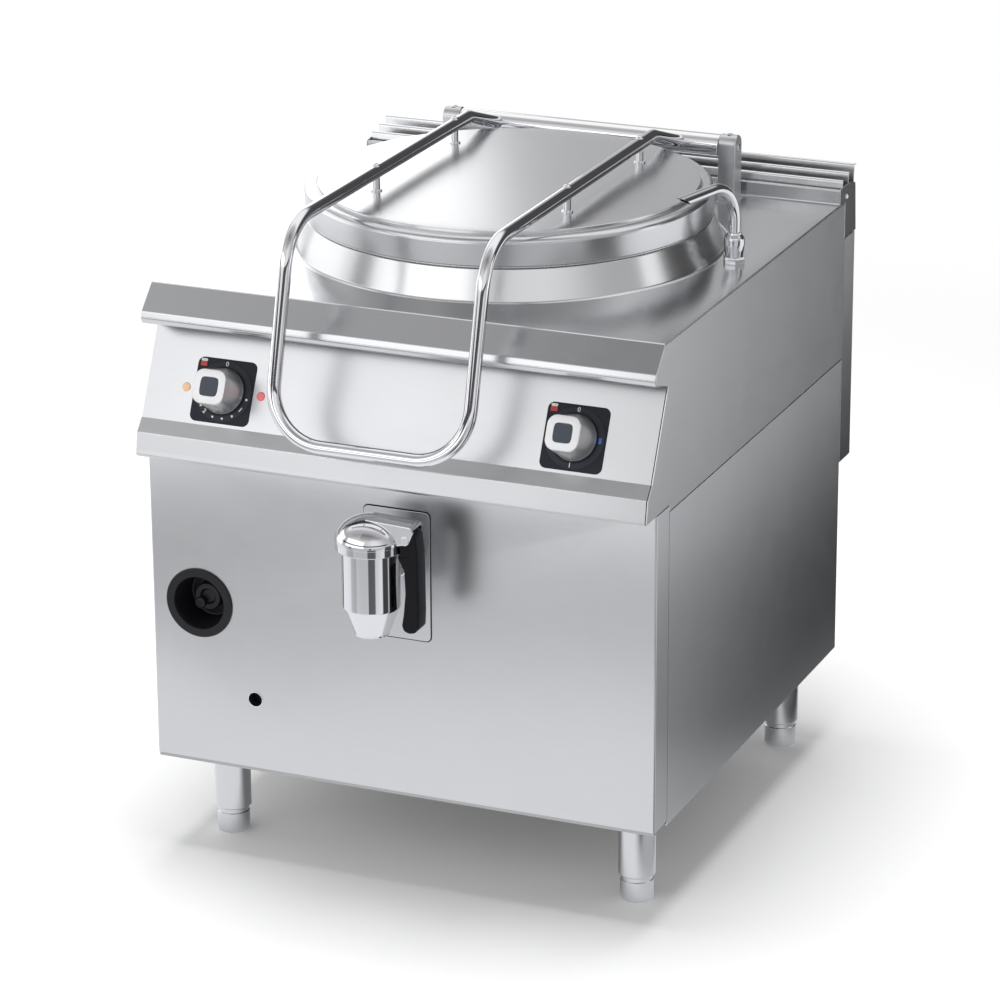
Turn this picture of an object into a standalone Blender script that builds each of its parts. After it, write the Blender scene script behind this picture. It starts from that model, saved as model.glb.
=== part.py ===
# Free-standing steam jacketed kettle with gas firing, hinged lid and front drain tap.
# X runs to the right, Y to the back and Z up, in metres. Depths are measured along Y from the
# face of the lower front panel; the kettle_frame empty moves them to the middle of the outline.

import math

import bmesh
import bpy
from mathutils import Matrix, Vector

GAP = 0.0003  # between two pieces that touch
KETTLE_STEPS = 36  # sides of everything turned about the kettle's axis, which nests face to face

# cabinet
WIDTH = 0.800
BODY_DEPTH = 0.805
REAR_DEPTH = 0.857
HOUSING_DEPTH = 0.860
TOP_HEIGHT = 0.887
TOP_SHEET = 0.002
PANEL_SHEET = 0.0015
FRONT_BOTTOM = 0.1576
SIDE_BOTTOM = 0.1504
SIDE_SEAM_DROP = 0.2531
HOOD_SEAM_DROP = 0.2435
CORNER_RETURN = 0.050
FLANGE = 0.015
DUCT_COVER_BOTTOM = 0.4627
DUCT_COVER_DROP = 0.0580
SIGHT_HOLE = (-0.2349, 0.2679)
SIGHT_RADIUS = 0.011

# hood front, as depth and drop under the worktop
HOOD_EDGE = 0.0291
NOSE_DROPS = ((-0.0048, 0.0341), (-0.0075, 0.0400), (-0.0075, 0.0455), (-0.0045, 0.0495), (0.0120, 0.0540))
PANEL_TOP_DROP = (0.0425, 0.0645)
PANEL_BOTTOM_DROP = (-0.0180, 0.1917)
PANEL_HIDDEN = 0.045
LEDGE_DROP = (-0.0340, 0.2100)
BAND_DROP = (-0.0385, 0.2345)
LIP_DROPS = ((-0.0400, 0.2405), (-0.0380, 0.2435))
LIP_REACH = 0.002

# base frame and legs
BASE_HEIGHT = 0.040
BASE_WALL = 0.0025
BASE_FLOOR = 0.003
RAIL_WIDTH = 0.030
FRONT_BAND = 0.145
REAR_BAND = 0.705
CROSS_BAR = 0.060
LEG_INSET = 0.0688
LEG_Y = (0.1089, 0.7422)
LEG_RADIUS = 0.0279
LEG_WALL = 0.0015
LEG_CAP = 0.006
FOOT_RADIUS = 0.0250
FOOT_SHOWN = 0.0407
FOOT_GUIDE = 0.045
FOOT_GROOVE = 0.0012
STEM_RADIUS = 0.006
STEM_OVER = 0.012

# vessel, jacket and insulation
KETTLE_Y = 0.422
VESSEL_RADIUS = 0.300
VESSEL_WALL = 0.003
VESSEL_FLOOR = 0.505
VESSEL_KNUCKLE = 0.020
RIM_RISE = 0.0505
RIM_THICK = 0.003
RIM_WIDTH = 0.0045
COLLAR_SPREAD = 0.018
COLLAR_SHEET = 0.002
COLLAR_LAND = 0.0075
COLLAR_LAP = 0.004
COLLAR_FILLET = 0.003
COLLAR_INSET = 0.0005
JACKET_SPACE = 0.0195
JACKET_WALL = 0.0025
JACKET_BOTTOM = 0.440
JACKET_DROP = 0.0545
JACKET_KNUCKLE = 0.030
INSULATION = 0.0225
INSULATION_BARE = (0.035, 0.0325)

# burner and flue
CHAMBER_INSET = 0.052
CHAMBER_WALL = 0.0015
BURNER_INSET = 0.105
BURNER_TUBE = 0.016
BURNER_HEIGHT = 0.262
BURNER_LEG = 0.007
FLUE_HALF = 0.150
FLUE_LOW = 0.360
FLUE_HIGH = 0.420
FLUE_OVERLAP = 0.052
FLUE_RISER = 0.784
FLUE_JOG = (0.466, 0.500)
FLUE_RISE = 0.010
FLUE_REAR_CLEAR = 0.004
FLUE_FRONT_CLEAR = 0.003

# flue housing and louvres
HOUSING_FRONT = 0.782
HOUSING_CROWN = ((0.7825, 0.0255), (0.7960, 0.0277), (0.8400, 0.0255), (0.8560, 0.0200), (0.8600, 0.0120))
LOUVRES = (("louvre_front", 0.796, 0.009, 0.036), ("louvre_middle", 0.824, 0.012, 0.042),
           ("louvre_rear", 0.851, 0.016, 0.049))
LOUVRE_HEM = 0.006
LOUVRE_LEAN = 0.003

# lid, handle and hinge
HINGE_BEHIND = 0.0009
HINGE_RISE = 0.087
HINGE_TUBE = 0.018
HINGE_STEPS = 24
HINGE_BORE = 0.014
HINGE_PLUG = 0.020
SHAFT_RADIUS = 0.008
SPRING_RADIUS = 0.011
SPRING_WIRE = 0.0015
SPRING_TURNS = 8
POST_INNER = 0.217
POST_WIDTH = 0.028
POST_DEPTH = 0.031
POST_OVER = 0.0195
POST_FOOT = (0.0015, 0.0030)
POST_SKIN = 0.002
LID_OVERHANG = 0.0016
LID_SHEET = 0.002
LID_SIDE = 0.033
LID_EDGE = 0.009
LID_SHOULDER = 0.004
LID_HEM = 0.010
LID_STEP_IN = 0.0201
LID_STEP_UP = 0.0055
LID_CROWN = 0.004
ARM_X = 0.152
ARM_RISE = 0.0306
ARM_TUBE = 0.010
ARM_WALL = 0.002
ARM_KNEE = 0.127
ARM_CORNER_Y = -0.021
LOOP_Y = -0.101
LOOP_DROP = 0.170
LOOP_CORNER = 0.080
ARM_FRONT_BEND = 0.080
ARM_REAR_BEND = 0.050
STUD_INSET = 0.1410
STUD_RADIUS = 0.0055

# spout
SPOUT_INSET = 0.048
SPOUT_Y = 0.437
SPOUT_TUBE = 0.0085
SPOUT_WALL = 0.0015
SPOUT_RISE = 0.092
SPOUT_BEND = 0.038
SPOUT_REACH = 0.140
SPOUT_PARK = math.radians(75.0)
NUT_CORNERS = 0.0155
NUT_HEIGHT = 0.0135
GLAND_RADIUS = 0.0140
GLAND_RISE = 0.0465
GLAND_SHAPE = ((0.0, 0.006), (0.0, 0.014), (-0.002, 0.023))

# drain tap
TAP_Y = -0.092
TAP_PIPE_Z = 0.535
TAP_PIPE_RADIUS = 0.021
TAP_PIPE_WALL = 0.003
TAP_PIPE_STEPS = 16
TAP_PLATE = (0.104, 0.198)
TAP_PLATE_Z = 0.502
TAP_PLATE_SHEET = 0.002
TAP_PLATE_CORNER = 0.008
TAP_STUB_RADIUS = 0.0255
TAP_RADIUS = 0.0425
TAP_WALL = 0.0045
TAP_CONE_TOP = 0.4865
TAP_OUTLET_Z = 0.443
TAP_OUTLET_RADIUS = 0.0260
TAP_OUTLET_BORE = 0.022
TAP_SEAT_Z = (0.460, 0.492)
TAP_TOP = 0.590
TAP_STEPS = 24
CAP_WIDER = 0.009
CAP_BOTTOM = 0.573
CAP_DOME_Z = 0.586
CAP_TOP = 0.622
CAP_WALL = 0.004
BRACKET_REACH = 0.0225
BRACKET_HALF = 0.018
BRACKET_SLOT = 0.0145
BRACKET_DROP = 0.034
BRACKET_TOP = ((0.002, 0.004), (0.0, 0.010), (0.008, 0.030))
SLOT_ROOF = ((0.004, 0.0075), (0.0, 0.016))
LEVER_OUT = 0.0095
LEVER_UP = 0.024
LEVER_HALF = 0.0142
LEVER_HUB = 0.0155
# outline below the hub, as distances from the pin
LEVER_SHAPE = ((-0.0090, -0.0180), (-0.0135, -0.0280), (-0.0095, -0.0360), (-0.0035, -0.0470),
               (-0.0020, -0.0820), (-0.0050, -0.1120), (-0.0080, -0.1310), (-0.0050, -0.1390),
               (0.0030, -0.1420), (0.0120, -0.1400), (0.0180, -0.1330), (0.0190, -0.1120),
               (0.0185, -0.0570), (0.0180, -0.0220))
LEVER_SOFT = 0.0015
PIN_RADIUS = 0.004
PIN_HEAD = 0.0065
PIN_HEAD_THICK = 0.0015
PLUG_STEM = 0.006
PLUG_LIFT = 0.010
PLUG_HEIGHT = 0.010
PLUG_BUTTON = 0.006

# gas valve in its recess
CUP_IN = 0.0772
CUP_Z = 0.4092
CUP_RIM = 0.0135
CUP_LIP = 0.003
CUP_RADIUS = 0.0405
CUP_TAPER = 0.0045
CUP_WALL = 0.002
CUP_DEPTH = 0.048
CUP_STEPS = 28
VALVE_SIZE = (0.060, 0.062, 0.074)
VALVE_SPINDLE = 0.004
GAS_KNOB_RADIUS = 0.0215
GAS_KNOB_FACE = 0.026
GAS_KNOB_THICK = 0.017
GAS_KNOB_DISH = (0.011, 0.006)
KNOB_LUG = (-0.0115, -0.0105)
LUG_RADIUS = 0.0085
LUG_PROUD = 0.003
SOLENOID_RADIUS = 0.016
SOLENOID_REACH = 0.022
GAS_PIPE = 0.008

# dials and lamps, placed by their distance up the control panel from its lower fold
DIAL_X = 0.275
DIAL_UP = 0.0523
DIAL_SIZE = 0.095
DIAL_CORNER = 0.010
DIAL_SHEET = 0.002
DIAL_BORE = 0.0053
KNOB_STEPS = 24
KNOB_RADIUS = 0.037
KNOB_HEIGHT = 0.058
KNOB_FACE = 0.0258
KNOB_CORNER = 0.018
SPINDLE_RADIUS = 0.005
SPINDLE_LENGTH = 0.024
REGULATOR_SIZE = 0.052
REGULATOR_DEPTH = 0.036
LAMP_OFFSET = 0.060
LAMP_RADIUS = 0.0065
LAMP_STEM = 0.0045
LAMP_DEPTH = 0.014
LAMP_FACE = (0.0015, 0.0025, 0.003)
WATER_BODY = 0.017
WATER_BODY_LENGTH = 0.050
WATER_PORT = 0.030
WATER_PIPE = 0.0065
WATER_DROP = 0.045
WATER_FRONT = 0.110
WATER_BEND = 0.018
SAFETY_ANGLE = math.radians(45.0)
# radius and height over its seat
SAFETY_SHAPE = ((0.0060, 0.0), (0.0060, 0.010), (0.0095, 0.012), (0.0095, 0.030), (0.0070, 0.034),
                (0.0070, 0.040))


def under_top(points):
    """Turn depths and drops under the worktop into depths and heights."""
    return tuple((y, TOP_HEIGHT - drop) for y, drop in points)


# sizes that follow from those above
HALF = WIDTH / 2
BASE_BOTTOM = SIDE_BOTTOM + PANEL_SHEET + GAP
LEG_TOP = BASE_BOTTOM - GAP
LEG_X = HALF - LEG_INSET
SIDE_SEAM = TOP_HEIGHT - SIDE_SEAM_DROP
HOOD_SEAM = TOP_HEIGHT - HOOD_SEAM_DROP
DUCT_COVER_TOP = TOP_HEIGHT - DUCT_COVER_DROP
NOSE = under_top(NOSE_DROPS)
PANEL_TOP, PANEL_BOTTOM, LEDGE, BAND = under_top((PANEL_TOP_DROP, PANEL_BOTTOM_DROP, LEDGE_DROP, BAND_DROP))
LIP = under_top(LIP_DROPS)
RIM_HEIGHT = TOP_HEIGHT + RIM_RISE
RIM_RADIUS = VESSEL_RADIUS + RIM_WIDTH
COLLAR_FOOT = RIM_RADIUS + COLLAR_SPREAD
COLLAR_SEAM = COLLAR_FOOT + COLLAR_LAND
JACKET_RADIUS = VESSEL_RADIUS + JACKET_SPACE + JACKET_WALL
JACKET_TOP = TOP_HEIGHT - JACKET_DROP
INSULATION_Z = (JACKET_BOTTOM + INSULATION_BARE[0], JACKET_TOP - INSULATION_BARE[1])
CHAMBER_RADIUS = JACKET_RADIUS - CHAMBER_INSET
BURNER_RADIUS = CHAMBER_RADIUS - BURNER_INSET
FLUE_FRONT = KETTLE_Y + CHAMBER_RADIUS - FLUE_OVERLAP
FLUE_TOP = TOP_HEIGHT + FLUE_RISE
LID_RADIUS = RIM_RADIUS + LID_OVERHANG
LID_SIDE_TOP = RIM_HEIGHT + LID_SIDE
LID_DISC = LID_RADIUS - LID_STEP_IN
LID_DISC_Z = LID_SIDE_TOP + LID_EDGE + LID_STEP_UP
HINGE_Y = KETTLE_Y + LID_RADIUS + HINGE_TUBE + HINGE_BEHIND
HINGE_Z = TOP_HEIGHT + HINGE_RISE
STUD_OFFSET = LID_DISC - STUD_INSET
ARM_Z = LID_DISC_Z + ARM_RISE
LOOP_Z = TOP_HEIGHT - LOOP_DROP
SPOUT_X = HALF - SPOUT_INSET
SPOUT_BEND_Z = TOP_HEIGHT + SPOUT_RISE
GLAND_TOP = TOP_HEIGHT + GLAND_RISE
TAP_BORE = TAP_RADIUS - TAP_WALL
CAP_RADIUS = TAP_RADIUS + CAP_WIDER
BRACKET_X = CAP_RADIUS + BRACKET_REACH
LEVER_X = CAP_RADIUS + LEVER_OUT
LEVER_Z = CAP_BOTTOM + LEVER_UP
CUP_X = CUP_IN - HALF
CUP_FLANGE = CUP_RADIUS + CUP_RIM
CUP_FLOOR_RADIUS = CUP_RADIUS - CUP_TAPER
ORIGIN_Y = (HOUSING_DEPTH + TAP_Y - CAP_RADIUS) / 2

FINISHES = {
    "satin steel": ((0.62, 0.62, 0.63), 0.32, 1.0),
    "plain steel": ((0.48, 0.48, 0.49), 0.45, 1.0),
    "chrome": ((0.80, 0.80, 0.82), 0.08, 1.0),
    "cast iron": ((0.12, 0.12, 0.12), 0.70, 0.6),
    "brass": ((0.62, 0.46, 0.20), 0.35, 1.0),
    "glass wool": ((0.72, 0.70, 0.62), 0.95, 0.0),
    "black plastic": ((0.020, 0.020, 0.024), 0.38, 0.0),
    "slate plastic": ((0.045, 0.050, 0.062), 0.42, 0.0),
    "silver plastic": ((0.55, 0.55, 0.56), 0.30, 0.7),
    "orange lens": ((0.90, 0.45, 0.15), 0.25, 0.0),
    "red lens": ((0.85, 0.10, 0.12), 0.25, 0.0),
}


def clear_scene():
    for old in list(bpy.data.objects):
        bpy.data.objects.remove(old, do_unlink=True)


def add_empty(name, location, parent=None):
    empty = bpy.data.objects.new(name, None)
    empty.location = location
    empty.parent = parent
    bpy.context.collection.objects.link(empty)
    return empty


def finish(piece, kind):
    colour, roughness, metallic = FINISHES[kind]
    material = bpy.data.materials.new(piece.name + " " + kind)
    material.use_nodes = True
    shader = material.node_tree.nodes["Principled BSDF"]
    shader.inputs["Base Color"].default_value = (*colour, 1.0)
    shader.inputs["Roughness"].default_value = roughness
    shader.inputs["Metallic"].default_value = metallic
    piece.data.materials.append(material)


def make(name, bm, smooth=True):
    bmesh.ops.recalc_face_normals(bm, faces=bm.faces)
    mesh = bpy.data.meshes.new(name)
    bm.to_mesh(mesh)
    bm.free()
    if smooth:
        mesh.shade_smooth()
        mesh.set_sharp_from_angle(angle=math.radians(32))
    piece = bpy.data.objects.new(name, mesh)
    piece.parent = kettle_frame
    bpy.context.collection.objects.link(piece)
    return piece


def hang_on(piece, pivot):
    """Hand a piece to the empty on its joint's axis without moving it."""
    piece.parent = pivot
    piece.matrix_parent_inverse = Matrix.Translation(-pivot.location)


def combine(piece, others, operation):
    for other in others:
        other.hide_render = True
        other.display_type = "WIRE"
        step = piece.modifiers.new(other.name, "BOOLEAN")
        step.object = other
        step.operation = operation
        step.solver = "EXACT"
    return piece


def cut(piece, *cutters):
    return combine(piece, cutters, "DIFFERENCE")


def fuse(piece, *others):
    return combine(piece, others, "UNION")


def prism(name, outline, axis, start, end):
    """Push a flat outline along one axis; its points give the other two axes in order."""
    def spot(a, b, along):
        return {"X": (along, a, b), "Y": (a, along, b), "Z": (a, b, along)}[axis]

    bm = bmesh.new()
    face = bm.faces.new([bm.verts.new(spot(a, b, start)) for a, b in outline])
    grown = bmesh.ops.extrude_face_region(bm, geom=[face])["geom"]
    moved = [item for item in grown if isinstance(item, bmesh.types.BMVert)]
    bmesh.ops.translate(bm, verts=moved, vec=Vector(spot(0, 0, end - start)))
    return make(name, bm, smooth=False)


def block(name, low, high):
    outline = ((low[0], low[1]), (high[0], low[1]), (high[0], high[1]), (low[0], high[1]))
    return prism(name, outline, "Z", low[2], high[2])


def turned(name, profile, centre=(0, 0, 0), axis=(0, 0, 1), steps=28):
    """Spin a profile of radius and height. It closes on itself unless it starts on the axis."""
    bm = bmesh.new()
    spots = [bm.verts.new((radius, 0, height)) for radius, height in profile]
    pairs = list(zip(spots, spots[1:]))
    if profile[0][0] > 0:
        pairs.append((spots[-1], spots[0]))
    edges = [bm.edges.new(pair) for pair in pairs]
    bmesh.ops.spin(bm, geom=spots + edges, cent=(0, 0, 0), axis=(0, 0, 1), angle=2 * math.pi,
                   steps=steps, use_merge=True)
    bmesh.ops.remove_doubles(bm, verts=bm.verts, dist=1e-6)
    turn = Vector((0, 0, 1)).rotation_difference(Vector(axis)).to_matrix().to_4x4()
    bmesh.ops.transform(bm, matrix=Matrix.Translation(centre) @ turn, verts=bm.verts)
    return make(name, bm)


def rod(name, radius, start, end, steps=16):
    """A round bar between two points."""
    along = Vector(end) - Vector(start)
    profile = ((0, 0), (radius, 0), (radius, along.length), (0, along.length))
    return turned(name, profile, start, along.normalized(), steps)


def arc(centre, radius, first, last, steps):
    """Points round part of a circle, from the first to the last angle in degrees."""
    angles = [math.radians(first + (last - first) * i / steps) for i in range(steps + 1)]
    return [(centre[0] + radius * math.cos(a), centre[1] + radius * math.sin(a)) for a in angles]


def rounded_rectangle(width, height, corner, steps=4):
    a, b = width / 2 - corner, height / 2 - corner
    corners = (((a, b), 0), ((-a, b), 90), ((-a, -b), 180), ((a, -b), 270))
    return [spot for centre, first in corners for spot in arc(centre, corner, first, first + 90, steps)]


def sheet(line, thickness):
    """Outline of folded sheet: the line is its outer face and the metal lies to its left."""
    points = [Vector(point) for point in line]
    inner = []
    for i, point in enumerate(points):
        before = (point - points[i - 1]).normalized() if i > 0 else None
        after = (points[i + 1] - point).normalized() if i < len(points) - 1 else None
        normals = [Vector((-way.y, way.x)) for way in (before, after) if way is not None]
        middle = sum(normals, Vector((0, 0))).normalized()
        inner.append(point + middle * (thickness / middle.dot(normals[0])))
    return [tuple(point) for point in points] + [tuple(point) for point in reversed(inner)]


def bent_path(corners, radii, steps=4):
    """A line through the corners, with each inner corner rounded to its radius."""
    points = [Vector(corner) for corner in corners]
    path = [points[0]]
    for before, here, after, radius in zip(points, points[1:], points[2:], radii):
        back, ahead = (before - here).normalized(), (after - here).normalized()
        half = back.angle(ahead) / 2
        reach = radius / math.tan(half)
        centre = here + (back + ahead).normalized() * (radius / math.sin(half))
        start, finish_at = here + back * reach - centre, here + ahead * reach - centre
        sweep = start.angle(finish_at)
        for i in range(steps + 1):
            share = i / steps
            blend = start * math.sin((1 - share) * sweep) + finish_at * math.sin(share * sweep)
            path.append(centre + blend / math.sin(sweep))
    path.append(points[-1])
    return path


def rings_along(path, radius, sides):
    """Circles of points square to a path, carried along it without twisting."""
    ways = [(after - before).normalized() for before, after in zip(path, path[1:])]
    tangents = [ways[0]] + [(a + b).normalized() for a, b in zip(ways, ways[1:])] + [ways[-1]]
    side = tangents[0].orthogonal().normalized()
    rings = []
    for point, tangent in zip(path, tangents):
        side = (side - tangent * side.dot(tangent)).normalized()
        other = tangent.cross(side)
        angles = [2 * math.pi * i / sides for i in range(sides)]
        rings.append([point + radius * (math.cos(a) * side + math.sin(a) * other) for a in angles])
    return rings


def skin_rings(bm, rings):
    rows = [[bm.verts.new(spot) for spot in ring] for ring in rings]
    for low, high in zip(rows, rows[1:]):
        for i, spot in enumerate(low):
            j = (i + 1) % len(low)
            bm.faces.new((spot, low[j], high[j], high[i]))
    return rows


def pipe(name, path, outer, inner=0.0, sides=10):
    """A tube along a path, hollow where an inner radius is given, with flat ends."""
    bm = bmesh.new()
    skin = skin_rings(bm, rings_along(path, outer, sides))
    if inner > 0:
        bore = skin_rings(bm, rings_along(path, inner, sides))
        for ring, hole in ((skin[0], bore[0]), (skin[-1], bore[-1])):
            for i, spot in enumerate(ring):
                j = (i + 1) % sides
                bm.faces.new((spot, ring[j], hole[j], hole[i]))
    else:
        bm.faces.new(skin[0])
        bm.faces.new(skin[-1])
    return make(name, bm)


def loft(name, rings):
    """A closed solid through a stack of rings, with flat ends."""
    bm = bmesh.new()
    rows = skin_rings(bm, rings)
    bm.faces.new(rows[0])
    bm.faces.new(rows[-1])
    return make(name, bm)


def move_to(piece, place):
    piece.data.transform(place)
    return piece


def panel_place(x, up=DIAL_UP, out=0.0):
    """Frame on the control panel: X to the right, Y up its slope and Z straight out of it."""
    slope = Vector((0, PANEL_TOP[0] - PANEL_BOTTOM[0], PANEL_TOP[1] - PANEL_BOTTOM[1])).normalized()
    right = Vector((1, 0, 0))
    outwards = right.cross(slope)
    origin = Vector((x, *PANEL_BOTTOM)) + slope * up + outwards * out
    turn = Matrix((right, slope, outwards)).transposed().to_4x4()
    return Matrix.Translation(origin) @ turn


def panel_rod(name, x, radius, low, high, steps=12):
    """A round bar square to the control panel, between two heights over its face."""
    place = panel_place(x)
    return rod(name, radius, place @ Vector((0, 0, low)), place @ Vector((0, 0, high)), steps)


def make_base_frame():
    low = (-HALF + PANEL_SHEET + GAP, PANEL_SHEET + GAP)
    high = (HALF - PANEL_SHEET - GAP, BODY_DEPTH - PANEL_SHEET - GAP)
    top = BASE_BOTTOM + BASE_HEIGHT
    inside = HALF - PANEL_SHEET - RAIL_WIDTH
    bays = ((FRONT_BAND, KETTLE_Y - CROSS_BAR / 2), (KETTLE_Y + CROSS_BAR / 2, REAR_BAND))
    frame = block("base_frame", (*low, BASE_BOTTOM), (*high, top))
    over = top + BASE_WALL
    under = BASE_BOTTOM - BASE_WALL
    pocket = block("base_pocket", (low[0] + BASE_WALL, low[1] + BASE_WALL, BASE_BOTTOM + BASE_FLOOR),
                   (high[0] - BASE_WALL, high[1] - BASE_WALL, over))
    for number, (near, far) in enumerate(bays):
        sleeve = block(f"base_sleeve_{number}", (-inside - BASE_WALL, near - BASE_WALL, under),
                       (inside + BASE_WALL, far + BASE_WALL, over + BASE_WALL))
        cut(pocket, sleeve)
        cut(frame, block(f"base_bay_{number}", (-inside, near, under), (inside, far, over)))
    cut(frame, pocket)
    for side, x in (("left", -LEG_X), ("right", LEG_X)):
        for place, y in zip(("front", "rear"), LEG_Y):
            hole = rod(f"stem_hole_{place}_{side}", STEM_RADIUS + GAP, (x, y, under),
                       (x, y, BASE_BOTTOM + 2 * BASE_FLOOR), 16)
            cut(frame, hole)
    finish(frame, "plain steel")


def make_leg(place, x, y):
    name = f"leg_tube_{place}"
    inner = LEG_RADIUS - LEG_WALL
    hole = STEM_RADIUS + GAP
    tube = turned(name, ((LEG_RADIUS, FOOT_SHOWN), (LEG_RADIUS, LEG_TOP), (hole, LEG_TOP),
                         (hole, LEG_TOP - LEG_CAP), (inner, LEG_TOP - LEG_CAP), (inner, FOOT_SHOWN)),
                  (x, y, 0), steps=16)
    finish(tube, "satin steel")
    chamfer = 0.003
    guide = FOOT_SHOWN + FOOT_GUIDE
    stem_top = BASE_BOTTOM + STEM_OVER
    groove = FOOT_RADIUS - FOOT_GROOVE
    foot = turned(f"leg_foot_{place}",
                  ((0, 0), (FOOT_RADIUS - chamfer, 0), (FOOT_RADIUS, chamfer),
                   (FOOT_RADIUS, FOOT_SHOWN - 0.008), (groove, FOOT_SHOWN - 0.007),
                   (groove, FOOT_SHOWN - 0.002), (FOOT_RADIUS, FOOT_SHOWN - 0.001),
                   (FOOT_RADIUS, guide), (STEM_RADIUS, guide), (STEM_RADIUS, stem_top), (0, stem_top)),
                  (x, y, 0), steps=16)
    finish(foot, "satin steel")
    hang_on(foot, add_empty(f"foot_pivot_{place}", (x, y, 0), kettle_frame))


def make_front_panel():
    line = ((-HALF, CORNER_RETURN - GAP), (-HALF, 0), (HALF, 0), (HALF, CORNER_RETURN - GAP))
    panel = prism("front_panel", sheet(line, PANEL_SHEET), "Z", FRONT_BOTTOM, HOOD_SEAM - GAP)
    through = (-2 * PANEL_SHEET, 3 * PANEL_SHEET)
    holes = (("cup_hole", CUP_X, CUP_Z, CUP_RADIUS + CUP_WALL + GAP, CUP_STEPS),
             ("sight_hole", *SIGHT_HOLE, SIGHT_RADIUS, 20),
             ("tap_hole", 0, TAP_PIPE_Z, TAP_PIPE_RADIUS + GAP, TAP_PIPE_STEPS))
    for name, x, z, radius, steps in holes:
        cut(panel, rod(name, radius, (x, through[0], z), (x, through[1], z), steps))
    finish(panel, "satin steel")


def make_side_panel(name, side):
    outer = side * HALF
    inner = side * (HALF - PANEL_SHEET)
    edge = side * (HALF - FLANGE)
    front = CORNER_RETURN
    plan = ((outer, front), (outer, BODY_DEPTH), (edge, BODY_DEPTH), (edge, BODY_DEPTH - PANEL_SHEET),
            (inner, BODY_DEPTH - PANEL_SHEET), (inner, front))
    panel = prism(name, plan, "Z", SIDE_BOTTOM, SIDE_SEAM - GAP)
    foot = block(name + "_foot", (min(edge, outer), front, SIDE_BOTTOM),
                 (max(edge, outer), BODY_DEPTH, SIDE_BOTTOM + PANEL_SHEET))
    finish(fuse(panel, foot), "satin steel")


def make_back():
    edge = HALF - FLANGE - GAP
    back = block("back_panel", (-edge, BODY_DEPTH - PANEL_SHEET, SIDE_BOTTOM),
                 (edge, BODY_DEPTH, DUCT_COVER_BOTTOM - GAP))
    finish(back, "satin steel")
    near = BODY_DEPTH + GAP
    line = ((HALF, near), (HALF, REAR_DEPTH), (-HALF, REAR_DEPTH), (-HALF, near))
    cover = prism("rear_duct_cover", sheet(line, PANEL_SHEET), "Z", DUCT_COVER_BOTTOM, DUCT_COVER_TOP)
    floor = block("duct_cover_floor", (-HALF, near, DUCT_COVER_BOTTOM),
                  (HALF, REAR_DEPTH, DUCT_COVER_BOTTOM + PANEL_SHEET))
    finish(fuse(cover, floor), "satin steel")


def hood_side_outline():
    return ((BODY_DEPTH, TOP_HEIGHT), (HOOD_EDGE, TOP_HEIGHT), *NOSE[:-1], PANEL_TOP, PANEL_BOTTOM,
            LEDGE, BAND, *LIP, (CORNER_RETURN, HOOD_SEAM), (CORNER_RETURN, SIDE_SEAM),
            (BODY_DEPTH, SIDE_SEAM))


def make_worktop():
    line = ((BODY_DEPTH, TOP_HEIGHT), (HOOD_EDGE, TOP_HEIGHT), *NOSE)
    top = prism("worktop", sheet(line, TOP_SHEET), "X", -HALF, HALF)
    for name, side in (("hood_side_left", -1), ("hood_side_right", 1)):
        inner, outer = sorted((side * (HALF - TOP_SHEET), side * HALF))
        fuse(top, prism(name, hood_side_outline(), "X", inner, outer))
    under = TOP_HEIGHT - TOP_SHEET
    cut(top, rod("collar_hole", COLLAR_SEAM, (0, KETTLE_Y, under - TOP_SHEET),
                 (0, KETTLE_Y, TOP_HEIGHT + TOP_SHEET), KETTLE_STEPS))
    seat = RIM_HEIGHT - RIM_THICK - GAP
    inner_edge = VESSEL_RADIUS + GAP
    rim = RIM_RADIUS - COLLAR_INSET
    lap = COLLAR_SEAM + COLLAR_LAP
    fillet = COLLAR_FILLET
    collar = turned("pressed_collar",
                    ((lap, TOP_HEIGHT), (COLLAR_FOOT + fillet, TOP_HEIGHT),
                     (COLLAR_FOOT, TOP_HEIGHT + fillet / 2), (rim, seat), (inner_edge, seat),
                     (inner_edge, seat - COLLAR_SHEET), (rim - COLLAR_SHEET, seat - COLLAR_SHEET),
                     (COLLAR_FOOT - COLLAR_SHEET, under), (lap, under)),
                    (0, KETTLE_Y, 0), steps=KETTLE_STEPS)
    fuse(top, collar)
    cut(top, rod("spout_hole", SPOUT_TUBE + GAP, (SPOUT_X, SPOUT_Y, under - TOP_SHEET),
                 (SPOUT_X, SPOUT_Y, TOP_HEIGHT + TOP_SHEET)))
    finish(top, "satin steel")


def make_control_panel():
    place = panel_place(0)
    slope = (place.to_3x3() @ Vector((0, 1, 0))).yz
    top = Vector(PANEL_TOP) + slope * PANEL_HIDDEN
    line = (tuple(top), PANEL_BOTTOM, LEDGE, BAND, *LIP, (LIP_REACH, HOOD_SEAM))
    half = HALF - TOP_SHEET - GAP
    panel = prism("control_panel", sheet(line, PANEL_SHEET), "X", -half, half)
    deep = 3 * PANEL_SHEET
    for name, x in (("left_spindle_hole", -DIAL_X), ("right_spindle_hole", DIAL_X)):
        cut(panel, panel_rod(name, x, DIAL_BORE, -deep, deep))
    for name, offset in (("orange_lamp_hole", -LAMP_OFFSET), ("red_lamp_hole", LAMP_OFFSET)):
        cut(panel, panel_rod(name, -DIAL_X + offset, LAMP_STEM + GAP, -deep, deep))
    finish(panel, "satin steel")


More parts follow.
